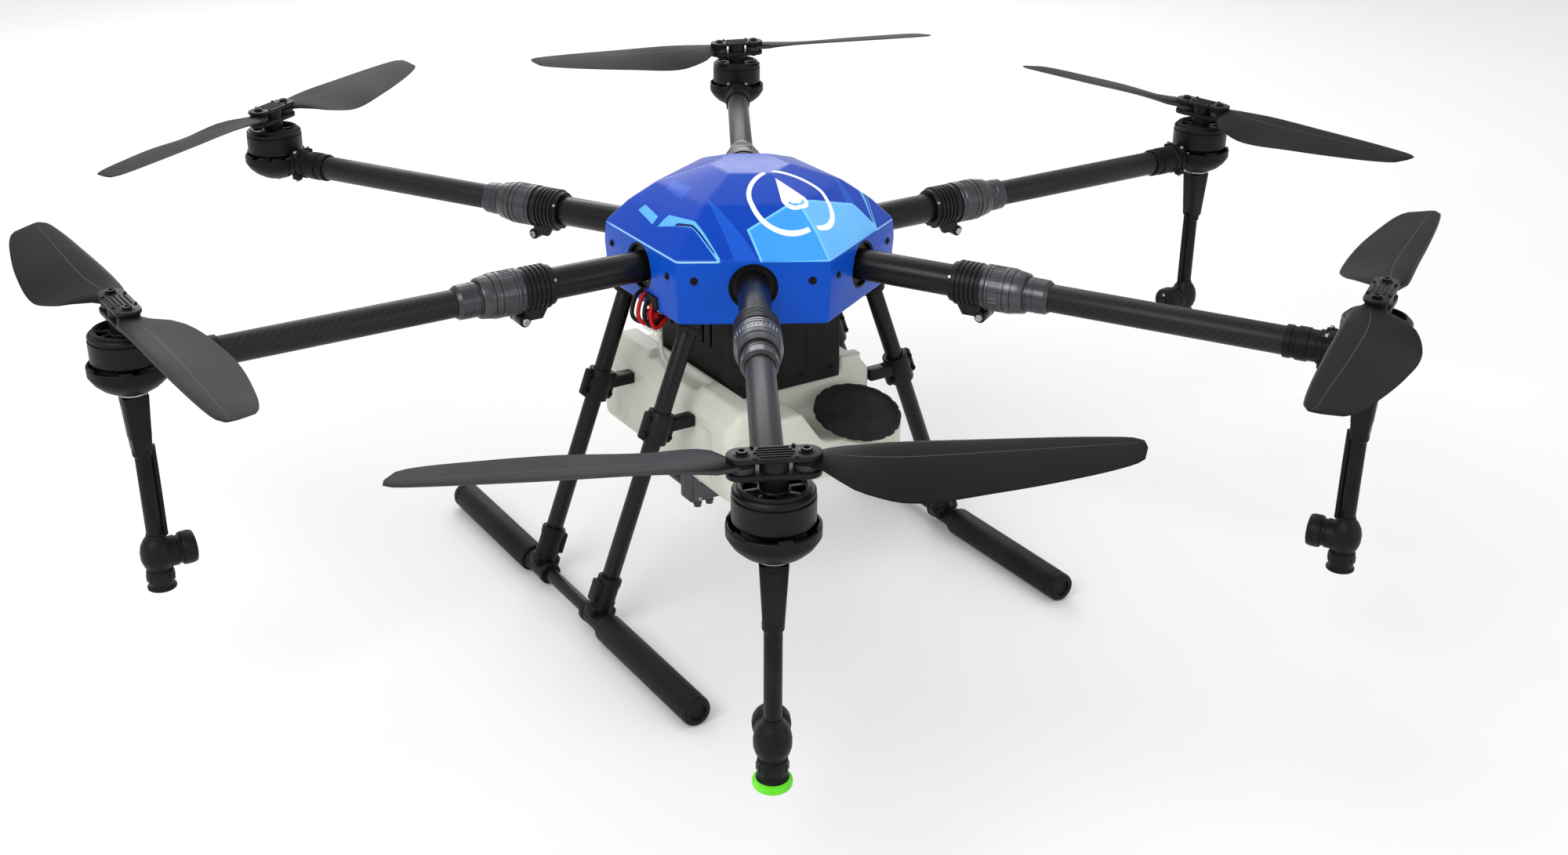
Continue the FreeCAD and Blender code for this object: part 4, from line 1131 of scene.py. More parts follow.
def make_motor_bases():
    """Bowl, tube clamp, stator and bolts at the end of each arm."""
    for arm in ARMS:
        body = "arm_" + arm
        place = on_motor(arm)
        base = Piece("motor_bowl_" + arm, body, "cast", "motor_base_" + arm)
        outline = [
            (0, -BASE_DEPTH), (16.2, -BASE_DEPTH), (17, -29.3), (19.5, -28.6), (28, -23.6),
            (34.6, -17.4),
            (38.2, -11.6), (38.4, -10.2), (BASE_R, -9.4), (BASE_R, -0.8), (38.8, 0), (37.2, 0),
            (36.7, -0.6), (36.7, -8), (32, -15.5), (24, -22), (16, -26), (0, -27),
        ]
        base.add(turned(outline, 72), place)
        for k in range(6):
            lug = block(2.2, 13, 3.4, 0.7)
            base.add(lug, place @ turn(60 * k + 12) @ shift(x=37.6, z=0.9))
        for k in range(3):
            rib = block(17, 3, 7, 1)
            base.add(
                rib, place @ turn(180) @ shift(30, (k - 1) * 9, -19 + abs(k - 1)) @ turn(-38, "Y")
            )
        socket = [
            (15.05, -36), (16.6, -36), (17.2, -35.4), (17.2, -29), (16.3, -28.4), (16.3, -24),
            (17.6, -23.4),
            (17.6, -12), (16.4, -11.4), (16.4, -3), (17.2, -2.4), (18, -1.8), (18, 3.6), (17, 4),
            (17, 6), (18, 6.4),
            (18, 12.4), (17.2, 12.9), (15.1, 12.9),
        ]
        base.add(turned(socket, 56), place @ shift(x=-50, z=-RIM_ABOVE_ARM) @ ALONG_X)
        base.add(block(8, 22, 13, 2), place @ shift(-37.5, 0, -16))
        for y in (-12.5, 12.5):
            base.add(block(12, 7, 9, 1.4), place @ shift(-43.6, y, -RIM_ABOVE_ARM - 14))
            base.add(block(11, 6, 7, 1.4), place @ shift(-43.6, y, -RIM_ABOVE_ARM + 13.5))
        base.finish()

        bolts = Piece("motor_bolts_" + arm, body, "steel")
        for y in (-12.5, 12.5):
            bolts.add(bolt(2.3, 2.4), place @ shift(-43.6, y, -RIM_ABOVE_ARM + 17))
            bolts.add(nut(2.6, 2.2), place @ shift(-43.6, y, -RIM_ABOVE_ARM - 18.4) @ DOWN)
        for k in range(4):
            if arm not in SPRAY_ARMS:
                bolts.add(
                    bolt(2.2, 1.8), place @ turn(90 * k + 45) @ shift(x=12, z=-BASE_DEPTH) @ DOWN
                )
        bolts.add(block(1.2, 9, 2.6, 0.4), place @ turn(198) @ shift(x=35.2, z=0.8))
        bolts.finish()

        core = Piece("stator_" + arm, body, ["dark", "copper"])
        drum = [(4.6, -26.5), (10, -26.5), (10, -4), (18, -2), (18, 22), (4.6, 23)]
        core.add(turned(drum, 40), place)
        core.add(pipe(27.0, 10.2, 5.0, 0.5), place @ shift(z=-15.0))
        for k in range(18):
            spoke = place @ turn(20 * k)
            core.add(block(11, 4.4, 21, 1.6, 2), spoke @ shift(x=22.6, z=11), 1)
            core.add(block(2.2, 7.6, 23, 0.5, 1), spoke @ shift(x=28.4, z=11))
        core.finish()


def make_rotors():
    """Vented bell, blade clamp plates and blade bolts of each motor."""
    for arm in ARMS:
        body = "spinner_" + arm
        place = on_prop(arm)
        bell = Piece("motor_bell_" + arm, body, "bell", "rotor_" + arm)
        outline = [
            (31.4, 4), (33.9, 4), (BELL_R, 4.8), (BELL_R, 25.4), (34.2, 25.8), (33.2, 26),
            (33.2, 28.4),
            (34.3, 28.6), (34.3, 30.2), (32.6, 32), (30.6, 32.2), (30.2, 34.2), (29.4, 35),
            (27.2, 35),
            (26.4, 34.2), (26.2, 32.4), (25.4, 31.6), (25.4, 29.2), (31.4, 28.6),
        ]
        bell.add(turned(outline, 72), place)
        hub = [(0, 22), (4, 22), (4, 28.8), (13.4, 28.8), (14.2, 29.6), (14.2, 31.4), (13.2, 32.4),
               (12.2, 32.6), (12, 43.2), (0, 43.2)]
        bell.add(turned(hub, 48), place)
        bell.add(rod(3.95, 42, 0.3, 24), place @ shift(z=-18))
        for k in range(8):
            spoke = block(14.4, 4.6, 2.8, 0.8)
            bell.add(spoke, place @ turn(45 * k) @ shift(19.8, 2.5, 30.4) @ turn(14))
        for k in range(24):
            tooth = block(1.6, 3.2, 2.2, 0.3, 1)
            bell.add(tooth, place @ turn(15 * k) @ shift(x=31.2, z=4.6))
        bell.finish()

        clamp = Piece("blade_clamp_" + arm, body, "clamp")
        length = 2 * BLADE_PIN_R + 26
        clamp.add(round_bar(length, 26, 5, 0.7), place @ shift(z=43))
        clamp.add(rod(12, 10.6, 0.2), place @ shift(z=48))
        clamp.add(round_bar(length, 26, 4, 0.9), place @ shift(z=58.6))
        for y in (-8.6, -4.3, 0, 4.3, 8.6):
            rib = round_bar(34 - abs(y), 1.5, 1.1, 0.3)
            clamp.add(rib, place @ shift(0, y, 62.5))
        clamp.finish()

        pins = Piece("blade_bolts_" + arm, body, "black_bolt")
        for x in (-BLADE_PIN_R, BLADE_PIN_R):
            pins.add(pipe(6.6, 2.0, 0.8, 0.2, 28), place @ shift(x, 0, 62.6))
            pins.add(bolt(4.9, 2.9, 28), place @ shift(x, 0, 62.7))
            pins.add(rod(2.9, 19.4, 0.2, 24), place @ shift(x, 0, 43.1))
            pins.add(nut(4.4, 3.0), place @ shift(x, 0, 43.0) @ DOWN)
        for x in (-7, 7):
            for y in (-10.6, 10.6):
                pins.add(bolt(1.7, 1.5, 16), place @ shift(x * 2.4, y, 62.6))
        pins.finish()


# --- Blades -----------------------------------------------------------------------------------


def station(share):
    """Chord, leading-edge offset, pitch and thickness at a share of the radius."""
    last = len(BLADE_STATIONS) - 1
    k = max(i for i in range(last) if BLADE_STATIONS[i][0] <= share + 1e-9)
    rows = [BLADE_STATIONS[min(max(i, 0), last)] for i in (k - 1, k, k + 1, k + 2)]
    gap = rows[2][0] - rows[1][0]
    t = (share - rows[1][0]) / gap
    eased = []
    for column in range(1, 5):
        before, near, far, after = (row[column] for row in rows)
        slope_near = (far - before) / max(rows[2][0] - rows[0][0], 1e-6) * gap
        slope_far = (after - near) / max(rows[3][0] - rows[1][0], 1e-6) * gap
        eased.append(
            (2 * t**3 - 3 * t**2 + 1) * near
            + (t**3 - 2 * t**2 + t) * slope_near
            + (3 * t**2 - 2 * t**3) * far
            + (t**3 - t**2) * slope_far
        )
    return eased


def blade_shape(hand, stations=34, sides=28):
    """One blade along +X from its pin, with the eye that its bolt passes through."""
    part = bmesh.new()
    rings = []
    across = {}
    first, last = BLADE_STATIONS[0][0], BLADE_STATIONS[-1][0]
    for k in range(stations):
        share = first + (last - first) * (k / (stations - 1)) ** 0.9
        chord, edge, pitch, thick = station(share)
        ring = ring_of(part, sides, 0.5)
        tilt = math.radians(pitch)
        for v in ring:
            back = 0.5 - v.co.x
            half = sum(part * back**power for part, power in AEROFOIL)
            half = max(half, 0.06) if 0.01 < back < 0.99 else half
            rise = (math.copysign(half, v.co.y) if abs(v.co.y) > 1e-6 else 0) + 0.5 * back * (
                1 - back
            )
            along = edge - back * chord
            up = rise * thick
            across[v] = back
            v.co = (
                share * PROP_R,
                hand * (along * math.cos(tilt) - up * math.sin(tilt)),
                BLADE_Z + along * math.sin(tilt) + up * math.cos(tilt),
            )
        rings.append(ring)
    lofted(rings, part)
    layer = part.loops.layers.uv.verify()
    for side in part.faces:
        for loop in side.loops:
            loop[layer].uv = (loop.vert.co.x / 10, across.get(loop.vert, 0.5))
    eye = turned(((3.1, -5), (10.4, -5), (11, -4.4), (11, 4.4), (10.4, 5), (3.1, 5)), 40)
    placed(eye, shift(BLADE_PIN_R, 0, BLADE_Z))
    return joined(part, eye)


def make_blades():
    """Two folding blades on each motor."""
    for arm in ARMS:
        hand = -1 if arm in CLOCKWISE_ROTORS else 1
        for letter, way in (("a", 0), ("b", 180)):
            name = f"propeller_{letter}_{arm}"
            blade = Piece(name, f"leaf_{letter}_{arm}", "blade", f"blade_{letter}_{arm}")
            blade.add(blade_shape(hand), on_prop(arm) @ turn(way))
            blade.finish(50)


# --- Spray lances -----------------------------------------------------------------------------


def make_lances():
    """Bracket, rod, hose, check valve and nozzle under four of the motors."""
    for arm in SPRAY_ARMS:
        body = "arm_" + arm
        top = on_motor(arm) @ shift(z=-BASE_DEPTH)
        lance = Piece("lance_" + arm, body, "black_plastic", "spray_lance_" + arm)
        lance.add(turned(((0, 0), (15, 0), (15, -2.6), (13.2, -4.4), (0, -5)), 40), top)
        bracket = block(25, 25, LANCE_BRACKET)
        for v in bracket.verts:
            if v.co.z < 0:
                v.co.x *= 0.74
                v.co.y *= 0.74
            else:
                v.co.x *= 1.02
        soften(bracket, 3, 3, where=upright_edge)
        soften(bracket, 0.8, 2, 50)
        lance.add(bracket, top @ shift(z=-4 - LANCE_BRACKET / 2))
        for x in (-1, 1):
            panel = block(0.8, 11, 40, 0.3, 1)
            lance.add(panel, top @ shift(x * 11.4, 0, -30) @ turn(3.2 * x, "Y"))
        lance.add(
            turned(((0, 0), (9.4, 0), (9.8, -1), (9.6, -7), (8.2, -9), (0, -9)), 32),
            top @ shift(z=-62)
        )
        lance.add(rod(8, 100, 0.3), top @ shift(z=-LANCE_ROD_END))
        neck = [
            (0, 6), (8.6, 6), (9.2, 3), (12.4, -1), (15.6, -7), (17, -14), (16.8, -22), (14.6, -29),
            (12.2, -32), (12, -34), (13.4, -35), (13.8, -38), (13.8, -46), (12.8, -48),
            (12.8, -52), (14.6, -53.4), (14.6, -55), (0, -55),
        ]
        lance.add(turned(neck, 44), top @ shift(z=-LANCE_ROD_END))
        for k in range(12):
            flute = block(1.6, 2.4, 8, 0.5, 1)
            lance.add(flute, top @ shift(z=-205) @ turn(30 * k) @ shift(x=13.6))
        valve = [
            (0, 6), (15.4, 6), (15.8, 18), (14.6, 19), (14.6, 22), (16.4, 23), (17, 24),
            (17, 34), (16, 36.6), (13, 37.6), (12.4, 36.6), (5, 36.4), (4.6, 37.8), (0, 37.8),
        ]
        toward_hub = top @ shift(z=-CHECK_VALVE_DROP) @ turn(-90, "Y")
        lance.add(turned(valve, 44), toward_hub)
        for k in range(16):
            lance.add(block(1.2, 2.6, 8, 0.4, 1), toward_hub @ turn(22.5 * k) @ shift(x=16.6, z=29))
        lance.finish()

        hose = Piece("lance_hose_" + arm, body, "black_plastic")
        run = [(-10.2, 0, -61), (-10.5, 0, -90), (-10.5, 0, -125), (-10.4, 0, -161)]
        hose.add(lead([Vector(p) for p in run], 3), top)
        hose.finish()

        metal = Piece("lance_fixings_" + arm, body, "steel")
        metal.add(pipe(16.2, 12.0, 1.2, 0.3, 48), top @ shift(z=-1.4))
        metal.add(bolt(2.2, 1.6, 16), top @ shift(x=-9, y=8, z=-4.4) @ turn(-90, "Y"))
        metal.add(bolt(2, 1.4, 16), toward_hub @ shift(8.6, 0, 36.2))
        metal.finish()

        if arm != RINGED_LANCE:
            continue
        ring = Piece("nozzle_ring", body, "green")
        outline = [
            (0, 0.4), (10.5, 0.4), (12, 1.2), (15.6, 0.8), (17.4, -0.6), (17.5, -5.6), (16.6, -7.2),
            (9, -11),
            (7, -11), (7, -13.4), (6.2, -14), (0, -14),
        ]
        ring.add(turned(outline, 48), top @ shift(z=-NOZZLE_RING_DROP))
        for k in range(8):
            ring.add(
                block(1.4, 3.6, 5.2, 0.5, 1),
                top @ shift(z=-NOZZLE_RING_DROP - 3.4) @ turn(45 * k) @ shift(x=16.9)
            )
        ring.finish()


# --- Tank -------------------------------------------------------------------------------------


def wedge(low, high, lean, ease):
    """Box between two corners whose -X side leans out by a distance at the top."""
    part = between(low, high)
    for v in part.verts:
        if v.co.x < (low[0] + high[0]) / 2 and v.co.z > (low[2] + high[2]) / 2:
            v.co.x -= lean
    return soften(part, ease, 4)


def make_tank():
    """Moulded tank with a saddle for the battery bay, and its tilted filler neck."""
    high = TANK_HIGH.copy()
    low = Vector((-high.x, -high.y, TANK_LOW.z))
    block_of_tank = between(low, high)
    soften(block_of_tank, 15, 5, where=upright_edge)
    soften(block_of_tank, 9, 3, 50)
    bed = TRAY_HIGH.x + 2
    far, room = 200, 40
    tools = [between((-bed, low.y - 9, TRAY_LOW.z), (bed, high.y + 9, high.z + 9), 5, 3)]
    lean = POCKET_SLOPE * (high.z + room - POCKET_Z) / (high.z - POCKET_Z)
    tools.append(
        wedge((POCKET_X, low.y - room, POCKET_Z), (far, POCKET_Y, high.z + room), lean, 12)
    )
    for x0, x1, top in ((-112, -82, 34), (-30, -8, 60)):
        tools.append(between((x0, low.y - 6, low.z + 12), (x1, low.y + 4, high.z - top), 2.5))
    tools.append(between((12, low.y - 6, low.z + 10), (102, low.y + 2.6, POCKET_Z - 16), 2))
    for side in (-1, 1):
        for y0, y1 in ((-112, -88), (-30, 24), (84, 112)):
            x0, x1 = sorted((side * (high.x - 4), side * far))
            tools.append(between((x0, y0, low.z + 12), (x1, y1, high.z - 34), 2.5))
        x0, x1 = sorted((side * 86, side * 114))
        tools.append(between((x0, -58, high.z - 7), (x1, 60, high.z + 9), 3))
        crest = between((-14, -far, 0), (60, far, 40))
        placed(crest, shift(side * (high.x - 6), 0, high.z - 15) @ turn(side * 52, "Y"))
        tools.append(crest)
    for x in (-104, -52, -3):
        tools.append(between((x, high.y - 2.6, low.z + 16), (x + 42, high.y + 5, high.z - 36), 2))
    slope = between((-far, -12, 0), (far, 60, 40))
    placed(slope, shift(0, high.y - 8, high.z - 12) @ turn(-28, "X"))
    tools.append(slope)
    skin = carve(block_of_tank, tools, bpy.context.scene.sprayer_sizes.tank_detail / MM)
    for _ in range(SKIN_SMOOTHINGS):
        bmesh.ops.smooth_vert(
            skin, verts=skin.verts, factor=0.5, use_axis_x=True, use_axis_y=True, use_axis_z=True)
    tilt = Matrix.Translation(FILLER) @ turn(FILLER_TILT, "X")
    bore = placed(rod(NECK_BORE_R, 90, steps=48), tilt @ shift(z=-48))
    skin = carve(skin, [bore])
    tank = Piece("spray_tank", "frame", "tank", "tank_body")
    tank.add(skin)
    thread = [(30, -6), (38, -6), (38, 2), (35, 4), (33.6, 4.6), (33, 5.2)]
    for k in range(4):
        thread += [(33, 5.6 + 3 * k), (33.9, 6.4 + 3 * k), (33.9, 7.2 + 3 * k), (33, 8 + 3 * k)]
    thread += [
        (33, NECK_HEIGHT - 0.4), (32.4, NECK_HEIGHT), (30.4, NECK_HEIGHT), (30, NECK_HEIGHT - 0.4)
    ]
    tank.add(turned(thread, 56), tilt)
    tank.finish(40)

    clamps = Piece("tank_leg_clamps", "frame", "clamp", "tank_clamps")
    fixings = Piece("leg_clamp_bolts", "frame", "black_bolt")
    for side in (-1, 1):
        for y in (-LEG_Y, LEG_Y):
            place = leg_place(side, y, TANK_CLAMP_Z - 16.5)
            clamps.add(pipe(15.0, LEG_R + 0.1, 36.0, 1.0, 40), place)
            for across in (-1, 1):
                clamps.add(block(9, 9, 32, 2.4, 3), place @ shift(0, across * 16, 18))
                for z in (9, 27):
                    knob = place @ shift(0, across * 16, z) @ turn(90 * side, "Y")
                    fixings.add(bolt(3, 3.2, 18), knob @ shift(z=4.4))
            reach = abs(leg_spot(side, y, TANK_CLAMP_Z).x) - high.x - 9
            clamps.add(block(reach, 16, 14, 2), shift(side * (high.x + reach / 2), y, TANK_CLAMP_Z))
    clamps.finish()
    fixings.finish()


def make_filler_cap():
    """Wide screw cap with finger grips round its skirt."""
    cap = Piece("filler_cap", "cap", "cap", "tank_cap")
    tilt = Matrix.Translation(FILLER) @ turn(FILLER_TILT, "X")
    skirt, roof, top = NECK_HEIGHT - 4.3, NECK_HEIGHT + 0.4, NECK_HEIGHT + 5.3
    outline = [
        (34.7, skirt), (CAP_R - 1.6, skirt), (CAP_R, skirt + 1.2), (CAP_R, top - 2.4),
        (CAP_R - 1, top - 0.7),
        (CAP_R - 2.8, top), (CAP_R - 5.6, top), (CAP_R - 6.2, top - 1.3), (17, top - 1.3),
        (16.4, top - 0.7),
        (15, top - 0.7), (14.4, top - 1.3), (0, top - 1.3), (0, roof), (34.7, roof),
    ]
    part = turned(outline, 144)
    grips = bpy.context.scene.sprayer_sizes.cap_grips
    for v in part.verts:
        reach = v.co.xy.length
        if reach > CAP_R - 2:
            angle = math.atan2(v.co.y, v.co.x)
            dip = max(0, math.cos(grips * angle)) ** 2 * GRIP_DEPTH
            v.co.x *= (reach - dip) / reach
            v.co.y *= (reach - dip) / reach
    cap.add(part, tilt)
    cap.finish(40)


def make_battery():
    """Battery bay and the battery with its pull handle and leads."""
    low, high = TRAY_LOW, TRAY_HIGH
    wall = BAY_WALL
    shell = between(low, high)
    soften(shell, 4, 3, where=upright_edge)
    inside = between(
        (low.x + wall, low.y + wall, low.z + wall), (high.x - wall, high.y + 20, high.z - wall)
    )
    tools = [inside]
    for x in (-38, 27):
        tools.append(between((x - 0.7, low.y - 5, low.z + 4), (x + 0.7, low.y + 0.9, high.z - 4)))
    for side in (-1, 1):
        face = side * high.x
        for k in range(6):
            y = -40 + 18 * k
            ends = sorted((face - side * 5, face + side * 5))
            tools.append(between((ends[0], y, low.z + 52), (ends[1], y + 5, low.z + 96)))
    bay = Piece("battery_bay", "frame", "bay", "battery_tray")
    bay.add(soften(carve(shell, tools), 0.45, 1, 50))
    for z in (low.z + 6, high.z - 10):
        bay.add(block(2 * high.x - 16, 1.4, 4, 0.5), shift(0, low.y - 0.5, z))
        for side in (-1, 1):
            bay.add(block(1.4, 130, 4, 0.5), shift(side * (high.x + 0.5), 0, z))
    bay.finish(35)
    studs = Piece("bay_screws", "frame", "black_bolt")
    for x in (-62, -20, 20, 62):
        studs.add(bolt(2.2, 1.6, 16), shift(x, low.y, high.z - 18) @ turn(90, "X"))
        studs.add(bolt(2.2, 1.6, 16), shift(x, low.y, low.z + 14) @ turn(90, "X"))
    studs.finish()

    low, high = BATTERY_LOW, BATTERY_HIGH
    back = high.y - 14
    pack = Piece("battery", "battery", "battery", "battery_pack")
    pack.add(between(low, (high.x, back, high.z), 4, 4))
    for z in (low.z + 14, high.z - 14):
        pack.add(block(2 * high.x - 10, 1, 8, 0.4), shift(0, back, z))
    centre = (low.z + high.z) / 2
    for x in (-31, 31):
        pack.add(block(8, 15, 22, 2.5, 3), shift(x, back + 6.5, centre))
    pack.add(block(62, 6, 22, 2.6, 3), shift(0, back + 11, centre))
    pack.finish(35)


def make_pump():
    """Diaphragm pump under the tank, with its ports."""
    low, high = PUMP_LOW, PUMP_HIGH
    x = (low.x + high.x) / 2
    face = low.y + 34
    z = high.z - 19
    motor = Piece("pump_motor", "frame", "cast", "spray_pump")
    outline = [
        (0, 0), (19, 0), (19, 40), (18.4, 41), (18.4, 44), (19, 45), (19, 54), (16, 58), (6, 58),
        (5, 57), (0, 57)
    ]
    motor.add(turned(outline, 48), shift(x, face, z) @ ALONG_Y)
    motor.finish()
    head = Piece("pump_head", "frame", "pump")
    head.add(between((low.x, low.y + 8, low.z), (high.x, face, high.z - 1), 3, 3))
    head.add(block(36, 8, 34, 3, 3), shift(x, low.y + 6, (low.z + high.z) / 2))
    for side in (-1, 1):
        port = turned(
            ((0, 0), (6, 0), (6, 6), (4.6, 7), (5.2, 10), (4.4, 12), (4.4, 14), (0, 14)), 24
        )
        head.add(port, shift(x + side * 8, low.y + 16, low.z + 1) @ DOWN @ shift(z=-4))
    head.finish()
    screws = Piece("pump_screws", "frame", "steel")
    for dx in (-13, 13):
        for dz in (-12, 12):
            screws.add(
                bolt(2.2, 2, 16),
                shift(x + dx, low.y + 2.2, (low.z + high.z) / 2 + dz) @ turn(90, "X")
            )
    screws.finish()


# --- Landing gear -----------------------------------------------------------------------------


def leg_spot(side, y, z):
    """Point on a leg's axis at a height."""
    share = (z - SKID_Z) / (LEG_TOP_Z - SKID_Z)
    return Vector((side * (SKID_X + (LEG_TOP_X - SKID_X) * share), y, z))


def leg_place(side, y, z):
    """Sets a part's +Z up a leg from a height."""
    return aimed(leg_spot(side, y, z), leg_spot(side, y, z + 10))


def make_landing_gear():
    """Legs, their brackets and tees, and the skids with foam sleeves."""
    legs = Piece("legs", "frame", "leg_tube", "leg_tubes")
    brackets = Piece("leg_fittings", "frame", "clamp", "leg_brackets")
    tees = Piece("skid_joints", "frame", "black_plastic", "skid_tees")
    bolts = Piece("gear_bolts", "frame", "steel")
    under = PLATE_LOW.z
    for side in (-1, 1):
        for y in (-LEG_Y, LEG_Y):
            foot = leg_spot(side, y, SKID_Z)
            top = leg_spot(side, y, under - 15)
            up = aimed(foot, top)
            legs.add(pipe(LEG_R, 8.5, (top - foot).length - 14.0, 0.3, 48), up @ shift(z=14.0))
            head = leg_spot(side, y, under)
            brackets.add(block(36, 28, 5, 1.6), shift(head.x, y, under - 2.5))
            sleeve_low = leg_place(side, y, under - LEG_SLEEVE_DROP)
            ends = [leg_spot(side, y, under - drop) for drop in (4, LEG_SLEEVE_DROP)]
            run = (ends[0] - ends[1]).length
            step = run * 0.45
            outline = [
                (10.1, 0), (13.6, 0), (14.6, 1), (14.6, 7), (13.8, 8), (13.8, step), (15, step + 1),
                (15, run), (10.1, run),
            ]
            brackets.add(turned(outline, 44), sleeve_low)
            brackets.add(block(6, 34, 14, 1.6), sleeve_low @ shift(-side * 2, 0, 24))
            for sign in (-1, 1):
                grip = sleeve_low @ shift(-side * 2, sign * 14.6, 24) @ turn(90 * side, "Y")
                bolts.add(bolt(2.2, 2.2, 18), grip @ shift(z=2.8))
                bolts.add(bolt(2, 1.8, 16), shift(head.x + sign * 14, y, under - 5) @ DOWN)
            across = [
                (8.1, -23), (12, -23), (13, -22), (13, -16), (12.2, -15), (12.2, 15), (13, 16),
                (13, 22),
                (12, 23), (8.1, 23),
            ]
            tees.add(turned(across, 44), Matrix.Translation(foot) @ ALONG_Y)
            riser = [
                (10.1, 4), (11, 4), (13.2, 14), (14, 20), (14, 24), (13, 25), (13, 42), (14, 43),
                (14, 51),
                (13.2, 52), (10.1, 52),
            ]
            tees.add(turned(riser, 44), up)
            tees.add(block(16, 7, 26, 2), up @ shift(0, math.copysign(14, -y), 34))
            tees.add(block(20, 34, 16, 5, 3), up @ shift(z=10))
            for z in (27, 41):
                bolts.add(
                    bolt(2.2, 2.2, 18),
                    up @ shift(0, math.copysign(14, -y), z) @ turn(90, "Y") @ shift(z=7.8)
                )
    for piece in (legs, brackets, tees, bolts):
        piece.finish()

    bars = Piece("skid_bars", "frame", "leg_tube", "skid_tubes")
    foam = Piece("skid_pads", "frame", "foam", "skid_sleeves")
    plugs = Piece("skid_end_rings", "frame", "black_plastic")
    half = SKID_HIGH.y
    sleeve_r = (SLEEVE_HIGH.z - SLEEVE_LOW.z) / 2
    end = SLEEVE_HIGH.y
    for side in (-1, 1):
        bars.add(rod(8, 2 * half, 0.5, 40), shift(side * SKID_X, -half, SKID_Z) @ ALONG_Y)
        for way in (-1, 1):
            place = shift(side * SKID_X, 0, SKID_Z) @ (ALONG_Y if way > 0 else turn(90, "X"))
            outline = [
                (8.1, 95), (14.6, 95), (16.2, 96.2), (sleeve_r, 99), (sleeve_r, 284), (16.6, 287),
                (15.6, 288), (8.1, 288),
            ]
            foam.add(turned(outline, 56), place)
            cap = [
                (8.1, 288.2), (16.2, 288.2), (sleeve_r, 289.4), (sleeve_r, 295), (15.6, 298.4),
                (12.6, end - 0.1),
                (11.2, end), (9.6, end - 0.4), (8.8, 297.2), (0, 297.2), (0, 292.4), (8.1, 292.4),
            ]
            plugs.add(turned(cap, 56), place)
    for piece in (bars, foam, plugs):
        piece.finish()


# --- Studio -----------------------------------------------------------------------------------
VIEW_AZIMUTH = -32.74
VIEW_ELEVATION = 24.84
VIEW_ROLL = 0.459
VIEW_DISTANCE = 2.237
VIEW_LENS = 42.74
VIEW_RIGHT = 0.0411
VIEW_HEIGHT = RIM_Z * MM - 0.2403


def area_light(name, place, size, power, target=(0, 0, 0.3), tint=(1, 1, 1)):
    """Soft lamp aimed at the sprayer."""
    lamp = bpy.data.lights.new(name, "AREA")
    lamp.shape = "RECTANGLE"
    lamp.size, lamp.size_y = size
    lamp.energy = power
    lamp.color = tint
    holder = bpy.data.objects.new(name, lamp)
    bpy.context.scene.collection.objects.link(holder)
    holder.location = place
    holder.rotation_euler = (Vector(target) - Vector(place)).to_track_quat("-Z", "Y").to_euler()


def make_stage():
    """Pale floor, soft lamps and the camera."""
    studio = bpy.context.scene.sprayer_studio
    scene = bpy.context.scene
    scene.view_settings.view_transform = "Standard"
    floor = bmesh.new()
    bmesh.ops.create_grid(floor, x_segments=1, y_segments=1, size=30)
    data = bpy.data.meshes.new("floor")
    floor.to_mesh(data)
    floor.free()
    surface = Surface("floor_pale", Specular_IOR_Level=0.2)
    cloud = surface.noise(1.2, detail=2)
    surface.set("Base Color", surface.mix(cloud, (0.8, 0.8, 0.8), (0.86, 0.86, 0.86)))
    surface.set("Roughness", cloud * 0.1 + 0.75)
    data.materials.append(surface.material)
    sheet = bpy.data.objects.new("floor", data)
    scene.collection.objects.link(sheet)

    world = bpy.data.worlds.new("studio")
    world.use_nodes = True
    world.node_tree.nodes["Background"].inputs["Color"].default_value = (1.0, 1.0, 1.0, 1.0)
    world.node_tree.nodes["Background"].inputs["Strength"].default_value = studio.surround
    scene.world = world
    key = studio.key
    area_light("key_left", (-2.6, -1.4, 2.6), (2.2, 1.4), key)
    area_light("top_soft", (0.6, 1.6, 3), (3.4, 2.4), key * 0.4)
    area_light("back_rim", (1.2, 3, 1.8), (2.4, 1), key * 0.5)
    area_light("front_fill", (1.2, -3.2, 1.2), (2.4, 1.4), key * 0.22)

    a, e, r = (math.radians(v) for v in (VIEW_AZIMUTH, VIEW_ELEVATION, VIEW_ROLL))
    back = Vector((math.sin(a) * math.cos(e), -math.cos(a) * math.cos(e), math.sin(e)))
    right = Vector((math.cos(a), math.sin(a), 0))
    up = back.cross(right)
    across = right * math.cos(r) + up * math.sin(r)
    upward = up * math.cos(r) - right * math.sin(r)
    lens = bpy.data.cameras.new("camera")
    lens.lens = VIEW_LENS
    lens.sensor_width = 36
    lens.clip_start, lens.clip_end = 0.05, 100
    camera = bpy.data.objects.new("camera", lens)
    scene.collection.objects.link(camera)
    spot = right * VIEW_RIGHT + Vector((0, 0, VIEW_HEIGHT)) + back * VIEW_DISTANCE
    rows = Matrix((across, upward, back)).transposed().to_4x4()
    camera.matrix_world = Matrix.Translation(spot) @ rows
    scene.camera = camera


# --- Add-on -----------------------------------------------------------------------------------
class SprayerColours(bpy.types.PropertyGroup):
    """Colours that a user would change."""

    cover: FloatVectorProperty(
        name="Cover", description="Blue of the cover", subtype="COLOR", size=3,
        default=tone("0444b4"), min=0, max=1)
    mark: FloatVectorProperty(
        name="Mark", description="Ring and drop on the cover", subtype="COLOR", size=3,
        default=tone("f4f7ff"), min=0, max=1)
    tank: FloatVectorProperty(
        name="Tank", description="Natural plastic of the tank", subtype="COLOR", size=3,
        default=tone("dcddd2"), min=0, max=1)


